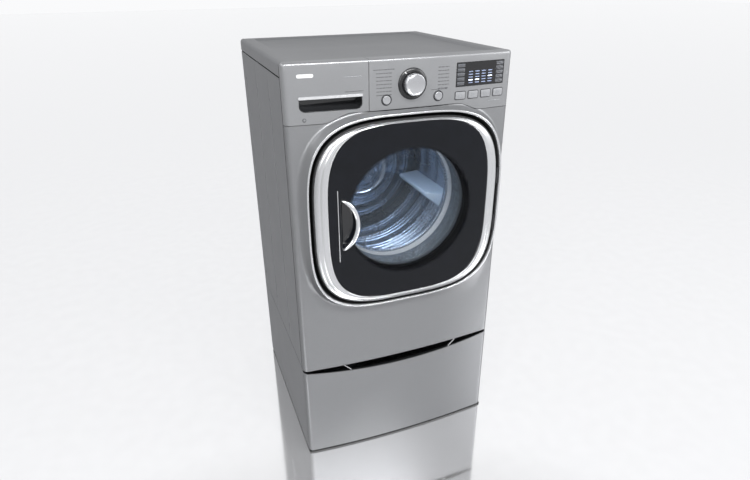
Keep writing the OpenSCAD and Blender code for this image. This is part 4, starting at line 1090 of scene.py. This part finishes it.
def makeDoorRing():
    for name, profile, finish, stands in (("doorRing", "ringProfile", "silver_ring", ["door_ring"]),
                                          ("doorSkirt", "skirtProfile", "skirt_black", [])):
        rings = []
        for share, depth in door[profile]:
            a = glassHalf.x + (ringHalf.x - glassHalf.x) * share
            b = glassHalf.y + (ringHalf.y - glassHalf.y) * share
            rings.append(doorOutline(a, b, depth, glassLift * (1 - share)))
        bm = growSheet(rings, door["ringTurns"])
        addPiece(name, bm, "door", finish, stands, wall=2, sharp=60)


cupLow, cupHigh = boxOf("handle_cup")
handle = {"arcRadius": 94.5, "barWidth": 15, "barRise": 15, "overrun": 6, "stations": 41,
          "inlay": (2.2, 1.4, 222), "inlayX": -221, "height": cupHigh.z - cupLow.z}
handle["centreX"] = cupHigh.x - handle["arcRadius"]


def cupEdge(inset, steps=28):
    r = handle["arcRadius"] - inset
    left = cupLow.x + inset
    top = handle["height"] / 2 - inset
    reach = min(math.asin(min(1, top / r)), math.acos((left - handle["centreX"]) / r))
    arc = [(handle["centreX"] + r * math.cos(a), doorZ + r * math.sin(a))
           for a in (-reach + 2 * reach * i / steps for i in range(steps + 1))]
    return arc + [(left, doorZ + r * math.sin(reach)), (left, doorZ - r * math.sin(reach))]


def makeCover():
    depth = coverLow.y

    rings = [doorOutline(glassHalf.x, glassHalf.y, depth + back, glassLift) for back in (2.4, 0.9)]
    rings += [doorOutline(glassHalf.x * share, glassHalf.y * share,
                          depth - door["domeRise"] * (1 - share * share), glassLift)
              for share in door["coverShares"]]
    bm, edges = growRings(rings, door["coverTurns"])
    bmesh.ops.contextual_create(bm, geom=edges)
    faceTowards(bm, towardsFront)
    cover = addPiece("smokedCover", bm, "door", "smoked_cover", ["door_cover"], wall=4.0, sharp=60)
    cutter = bmesh.new()
    verts = [cutter.verts.new((x, depth - 12, z)) for x, z in cupEdge(0.0)]
    face = cutter.faces.new(verts)
    grown = bmesh.ops.extrude_face_region(cutter, geom=[face])["geom"]
    bmesh.ops.translate(cutter, vec=(0, 30, 0), verts=[g for g in grown if isinstance(g, bmesh.types.BMVert)])
    bmesh.ops.recalc_face_normals(cutter, faces=cutter.faces)
    tool = addObject("cupCutter", toMesh("cupCutter", cutter))
    cut = cover.modifiers.new("cup", "BOOLEAN")
    cut.operation = "DIFFERENCE"
    cut.solver = "EXACT"
    cut.object = tool
    whole = bpy.data.meshes.new_from_object(cover.evaluated_get(bpy.context.evaluated_depsgraph_get()))
    cover.modifiers.clear()
    cover.data = whole
    bpy.data.objects.remove(tool)
    whole.set_sharp_from_angle(angle=math.radians(50))


def makeHandle():
    depth = coverLow.y
    steps = ((0.1, -1.6), (0.3, 3), (1.2, 10), (3.5, 18), (7, 23), (11, 24.5))
    bm = sinkLoops([[(x, depth + deep, z) for x, z in cupEdge(inset)] for inset, deep in steps])
    addPiece("handleCup", bm, "door", "handle_shade", ["handle_cup"], wall=1.2)
    # The grip is a bar bent round the cup's edge, thickest in the middle.
    bm = bmesh.new()
    order = bm.verts.layers.int.new("order")
    bmesh.ops.create_circle(bm, segments=28, radius=1)
    for i, vert in enumerate(bm.verts):
        vert[order] = i
    verts, edges = bm.verts[:], bm.edges[:]
    reach = math.asin(min(1, (handle["height"] / 2 + handle["overrun"]) / handle["arcRadius"]))
    stations = handle["stations"]
    ends = []
    for k in range(stations):
        if k:
            verts, edges = extrudeRing(bm, edges)
        share = 2 * k / (stations - 1) - 1
        turn = reach * share
        fat = max(0.03, (1 - abs(share) ** 5)) ** 0.5
        half, rise = handle["barWidth"] / 2 * fat, handle["barRise"] / 2 * (0.4 + 0.6 * fat)
        for vert in verts:
            a = 2 * math.pi * vert[order] / 28
            r = handle["arcRadius"] - 2 + half * math.cos(a) - 3 * (1 - fat)
            sink = depth - rise * 0.78 + rise * math.sin(a)
            vert.co = (handle["centreX"] + r * math.cos(turn), sink, doorZ + r * math.sin(turn))
        if k in (0, stations - 1):
            ends.append(list(edges))
    for loop in ends:
        bmesh.ops.contextual_create(bm, geom=loop)
    bmesh.ops.recalc_face_normals(bm, faces=bm.faces)
    addPiece("handleGrip", bm, "door", "chrome_trim", ["handle_grip"], sharp=60)
    # A slim bright inlay beside the grip.
    bm = newBlock(*handle["inlay"])
    softenEdges(bm, bm.edges[:], 0.4, 2)
    bmesh.ops.translate(bm, vec=(handle["inlayX"], depth - 0.9, doorZ - 5), verts=bm.verts)
    addPiece("handleInlay", bm, "door", "silver_ring", sharp=60)


makeDoorRing()
makeCover()
makeHandle()


def makeBowlAndLiner():
    back = boxOf("door_bowl")[1].y
    profile = [(196, -12), (196, -5), (191, -3.6), (189.5, 0), (186, 16), (182, 40), (178, 62), (173.5, 80),
               (168, 92), (160, 99.5), (148, 103.6), (130, 106.2), (100, 108.2), (60, 109.4), (20, 109.9),
               (0, 110)]
    profile = [(r, d + back - 110) for r, d in profile]
    bm = turnProfile(profile, 128)
    faceTowards(bm, towardsBack)
    addPiece("doorBowl", bm, "door", "clear_bowl", ["door_bowl"], wall=4, sharp=70)

    a, b = ringHalf.x - 1, ringHalf.y - 1
    rings = [roundRing(202, -13), roundRing(192.5, -13), roundRing(192.2, 3), roundRing(195, 6),
             roundRing(202, 8.5), roundRing(212, 9), doorOutline(a - 22, b - 22, 8.5),
             doorOutline(a - 8, b - 8, 7.5), doorOutline(a - 2, b - 2, 6), doorOutline(a, b, 4),
             doorOutline(a, b, 2.2)]
    bm = growSheet(rings, door["ringTurns"], towardsBack)
    addPiece("doorLiner", bm, "door", "dark_plastic", ["door_liner"], wall=2, sharp=60)


makeBowlAndLiner()
print("door made")


# Drum, seal and lifters

drum = {
    "steps": 144,
    "lip": 197,              # radius of the rolled mouth
    "shellRidges": [232, 250, 268, 286, 330, 348, 366, 420, 438],
    "backRidges": [136, 152, 204, 222],
    "hubDepth": 55,
    "ribAngles": [60, 180, 300],
    "ribReach": (12, 87),
}


def makeDrum():
    front, back = drumLow.y, drumHigh.y
    inner = drumRadius - 2
    lip = drum["lip"]
    profile = [(lip, front + 12), (lip, front + 6), (lip + 2, front + 2), (lip + 6, front + 0.5),
               (lip + 13, front + 2), (inner - 13, front + 17), (inner - 3, front + 27), (inner, front + 37)]
    for ridge in drum["shellRidges"]:
        profile += [(inner, ridge - 5), (inner - 1.5, ridge - 3.4), (inner - 3.6, ridge - 1.4),
                    (inner - 4, ridge), (inner - 3.6, ridge + 1.4), (inner - 1.5, ridge + 3.4),
                    (inner, ridge + 5)]
    profile += [(inner, back)]
    bm = turnProfile(profile, drum["steps"])
    faceInward(bm)
    addPiece("drumShell", bm, "drum", "pierced_stainless", ["drum_shell"], wall=1.2, sharp=60)
    cap = boxOf("drum_back")[0].y
    dish = cap + drum["hubDepth"]

    def dishDepth(r):
        return dish + (back - dish) * (r - 90) / (inner - 90)

    profile = [(0, cap), (10, cap + 0.4), (14, cap + 2.5), (16, cap + 6), (16.5, cap + 17), (18, cap + 19),
               (30, cap + 21), (46, cap + 23), (50, cap + 26), (56, cap + 36), (62, dish - 8), (72, dish - 4),
               (86, dish - 1.5), (89, dish - 4), (92, dish - 5.5), (95, dish - 4), (98, dish),
               (102, dishDepth(102))]
    for ridge in drum["backRidges"]:
        profile += [(ridge - 5, dishDepth(ridge - 5)), (ridge - 3, dishDepth(ridge) - 3),
                    (ridge, dishDepth(ridge) - 4.5), (ridge + 3, dishDepth(ridge) - 3),
                    (ridge + 5, dishDepth(ridge + 5))]
    profile += [(250, dishDepth(250)), (258, dishDepth(258) - 3), (inner, back - 3)]
    bm = turnProfile(profile, drum["steps"])
    faceTowards(bm, towardsFront)
    addPiece("drumBack", bm, "drum", "stainless", ["drum_back"], wall=1.2, sharp=60)
    # Three ribs on the hub cap, each running out from the raised middle.
    for i, angle in enumerate(drum["ribAngles"]):
        bm = newBlock()
        for vert in bm.verts:
            r = drum["ribReach"][vert.co.x > 0]
            top = vert.co.y < 0
            half = 2.6 if top else 6
            depth = (dish - 10 if top else dish) if r > 50 else (cap + 12 if top else cap + 24)
            vert.co = (r, depth, math.copysign(half, vert.co.z))
        softenEdges(bm, bm.edges[:], 1.5, 3)
        swing(bm, math.radians(angle), drumX, 0, drumZ)
        addPiece("hubRib_%d" % (i + 1), bm, "drum", "hub_steel", sharp=60)


makeDrum()

lifter = {"angles": (-20, 100, 220), "crest": 186, "crestHalf": 6, "baseHalf": 34, "leadIn": 60,
          "leadOut": 20}


def makeLifters():
    for i, angle in enumerate(lifter["angles"]):
        low, high = boxOf("lifter_%d" % (i + 1))
        bm = newBlock()
        for vert in bm.verts:
            crest = vert.co.x < 0
            r = lifter["crest"] if crest else drumRadius - 3
            depth = low.y + (lifter["leadIn"] if crest else 0)
            if vert.co.y > 0:
                depth = high.y - (lifter["leadOut"] if crest else 0)
            half = lifter["crestHalf"] if crest else lifter["baseHalf"]
            vert.co = (r, depth, math.copysign(half, vert.co.z))
        bmesh.ops.subdivide_edges(bm,
                                  edges=[e for e in bm.edges if abs(e.verts[0].co.y - e.verts[1].co.y) > 120],
                                  cuts=6, use_grid_fill=True)
        long = [e for e in bm.edges if e.calc_face_angle(0) > 0.5]
        softenEdges(bm, long, 5, 4)
        swing(bm, math.radians(angle), drumX, 0, drumZ)
        addPiece("lifter_%d_body" % (i + 1), bm, "drum", "lifter_plastic", ["lifter_%d" % (i + 1)], sharp=60)


makeLifters()


def makeSeal():
    low, high = boxOf("bellows")
    front, back = low.y, high.y
    hole = panel["flangeHole"]
    profile = [(hole + 10, front + 1), (hole + 2, front - 1.5), (hole - 4, front - 1), (hole - 6, front + 4),
               (hole - 2, front + 10), (hole + 6, front + 14), (hole + 12, front + 18),
               (hole + 14, front + 24), (hole + 11, front + 29), (hole + 2, front + 32),
               (hole - 6, front + 35), (hole - 9, front + 40), (202, back - 4), (201, back)]
    bm = turnProfile(profile, 128)
    faceInward(bm)
    addPiece("doorSeal", bm, "cabinet", "seal_rubber", ["bellows"], wall=3, sharp=60)


makeSeal()
print("drum made")


# Rear: screws in the panel and in its round cover

rear = {"head": 4.5, "sideScrews": 5, "topScrews": (-160, 0, 160), "coverScrews": 6, "coverRadius": 181,
        "coverProud": 1.5}


def makeScrews():
    low, high = boxOf("rear_panel")
    last = rear["sideScrews"] - 1
    heights = [low.z + 12 + (high.z - low.z - 24) * i / last for i in range(last + 1)]
    places = [(x, z, 0) for x in (low.x + 9, high.x - 9) for z in heights]
    places += [(x, high.z - 8, 0) for x in rear["topScrews"]]
    for k in range(rear["coverScrews"]):
        turn = 2 * math.pi * (k + 0.5) / rear["coverScrews"]
        places.append((drumX + rear["coverRadius"] * math.cos(turn),
                       drumZ + rear["coverRadius"] * math.sin(turn), rear["coverProud"]))
    r = rear["head"]
    for i, (x, z, proud) in enumerate(places):
        back = backDepth + proud
        profile = [(r + 1.4, back), (r + 1.4, back + 0.7), (r, back + 0.9), (r * 0.9, back + 2.2),
                   (r * 0.6, back + 3), (1.6, back + 3.1), (1.4, back + 1.6), (0, back + 1.5)]
        bm = turnProfile(profile, 20, x, z)
        faceTowards(bm, towardsBack)
        addPiece("screw_%02d" % (i + 1), bm, "cabinet", "steel", sharp=40)


makeScrews()


# Stage, light and camera

def makeFloor():
    bm = bmesh.new()
    bmesh.ops.create_grid(bm, x_segments=1, y_segments=1, size=30)
    mesh = bpy.data.meshes.new("floor")
    bm.to_mesh(mesh)
    bm.free()
    # Silvered acrylic sheet: close to a mirror, with a slight haze.
    white = newFinish("silveredAcrylic", "#f4f4f5", "#f6f6f7", 60, 0.0, roughness=0.07, drift=0.01,
                      Metallic=0.84)
    mesh.materials.append(white)
    addObject("floor", mesh)


# Each softbox: its place, what it faces, its two sizes in metres, its power in watts and its colour.
softboxes = {
    "keySoftbox": ((3.4, -2.1, 2.4), (0, 0, 0.9), (1.6, 2.0), 60, (1, 1, 1)),
    "sideSoftbox": ((-1.9, 0.2, 2.6), (-0.35, 0.1, 1.2), (1.2, 0.8), 11, (1, 1, 1)),
    "upperSoftbox": ((-0.2, -1.8, 2.7), (0, -0.3, 1.2), (2.4, 0.5), 66, (1, 1, 1)),
    "fillSoftbox": ((-2.4, -2.3, 2.1), (0, -0.3, 1.0), (0.9, 1.2), 20, (1, 1, 1)),
    "drumSoftbox": ((drumX * mm + 0.08, edgeY + 0.13, drumZ * mm + 0.13),
                    (drumX * mm, edgeY + 0.5, drumZ * mm - 0.1), (0.1, 0.05), 0.7, (0.86, 0.91, 1.0)),
}
drumLamp = {"place": (drumX * mm + 0.02, edgeY + 0.17, drumZ * mm + 0.12), "power": 0.7, "size": 0.05,
            "colour": (0.72, 0.85, 1.0)}


def addLamp(name, kind, place, power, colour):
    lamp = bpy.data.lights.new(name, kind)
    lamp.energy = power
    lamp.color = colour
    thing = addObject(name, lamp)
    thing.location = place
    return thing


def makeLights():
    for name, (place, target, size, power, colour) in softboxes.items():
        softbox = addLamp(name, "AREA", place, power, colour)
        softbox.data.shape = "RECTANGLE"
        softbox.data.size, softbox.data.size_y = size
        softbox.rotation_euler = (Vector(target) - Vector(place)).to_track_quat("-Z", "Y").to_euler()
    lamp = addLamp("drumLamp", "POINT", drumLamp["place"], drumLamp["power"], drumLamp["colour"])
    lamp.data.shadow_soft_size = drumLamp["size"]


makeFloor()
makeLights()

# The room is near white up to half height, dimmer overhead and a little greyer on the left.
room = {"colour": (0.985, 0.99, 1.0, 1), "overhead": {1: 0.7, 2: 0.98, 3: 0.97, 4: 0.12},
        "leftward": {1: -0.75, 2: -0.3, 3: 0.6, 4: 1.0}}


def makeRoom():
    world = bpy.data.worlds.new("studio")
    world.use_nodes = True
    tree = world.node_tree
    place = addNode(tree, "TexCoord").outputs["Generated"]
    facing = addNode(tree, "SeparateXYZ", {}, {0: place})
    overhead = addNode(tree, "MapRange", room["overhead"], {0: facing.outputs[2]})
    leftward = addNode(tree, "MapRange", room["leftward"], {0: facing.outputs[0]})
    shade = addNode(tree, "Math", {"operation": "MULTIPLY"}, {0: overhead.outputs[0], 1: leftward.outputs[0]})
    tree.links.new(shade.outputs[0], tree.nodes["Background"].inputs["Strength"])
    tree.nodes["Background"].inputs["Color"].default_value = room["colour"]
    bpy.context.scene.world = world
    bpy.context.scene.view_settings.view_transform = "Standard"


makeRoom()

cameraSettings = {
    "place": (-0.6363, -1.7421, 1.5292),
    "forward": (0.31957, 0.84342, -0.43188),
    "roll": 0.4355,
    "lens": 26.61,
}


def makeCamera():
    data = bpy.data.cameras.new("camera")
    data.lens = cameraSettings["lens"]
    data.sensor_width = 36
    camera = addObject("camera", data)
    forward = Vector(cameraSettings["forward"]).normalized()
    level = forward.cross(Vector((0, 0, 1))).normalized()
    down = forward.cross(level).normalized()
    roll = math.radians(cameraSettings["roll"])
    right = math.cos(roll) * level + math.sin(roll) * down
    below = math.cos(roll) * down - math.sin(roll) * level
    turned = Matrix((right, -below, -forward)).transposed().to_4x4()
    camera.matrix_world = Matrix.Translation(cameraSettings["place"]) @ turned
    bpy.context.scene.camera = camera


makeCamera()
print("stage, lights and camera made")
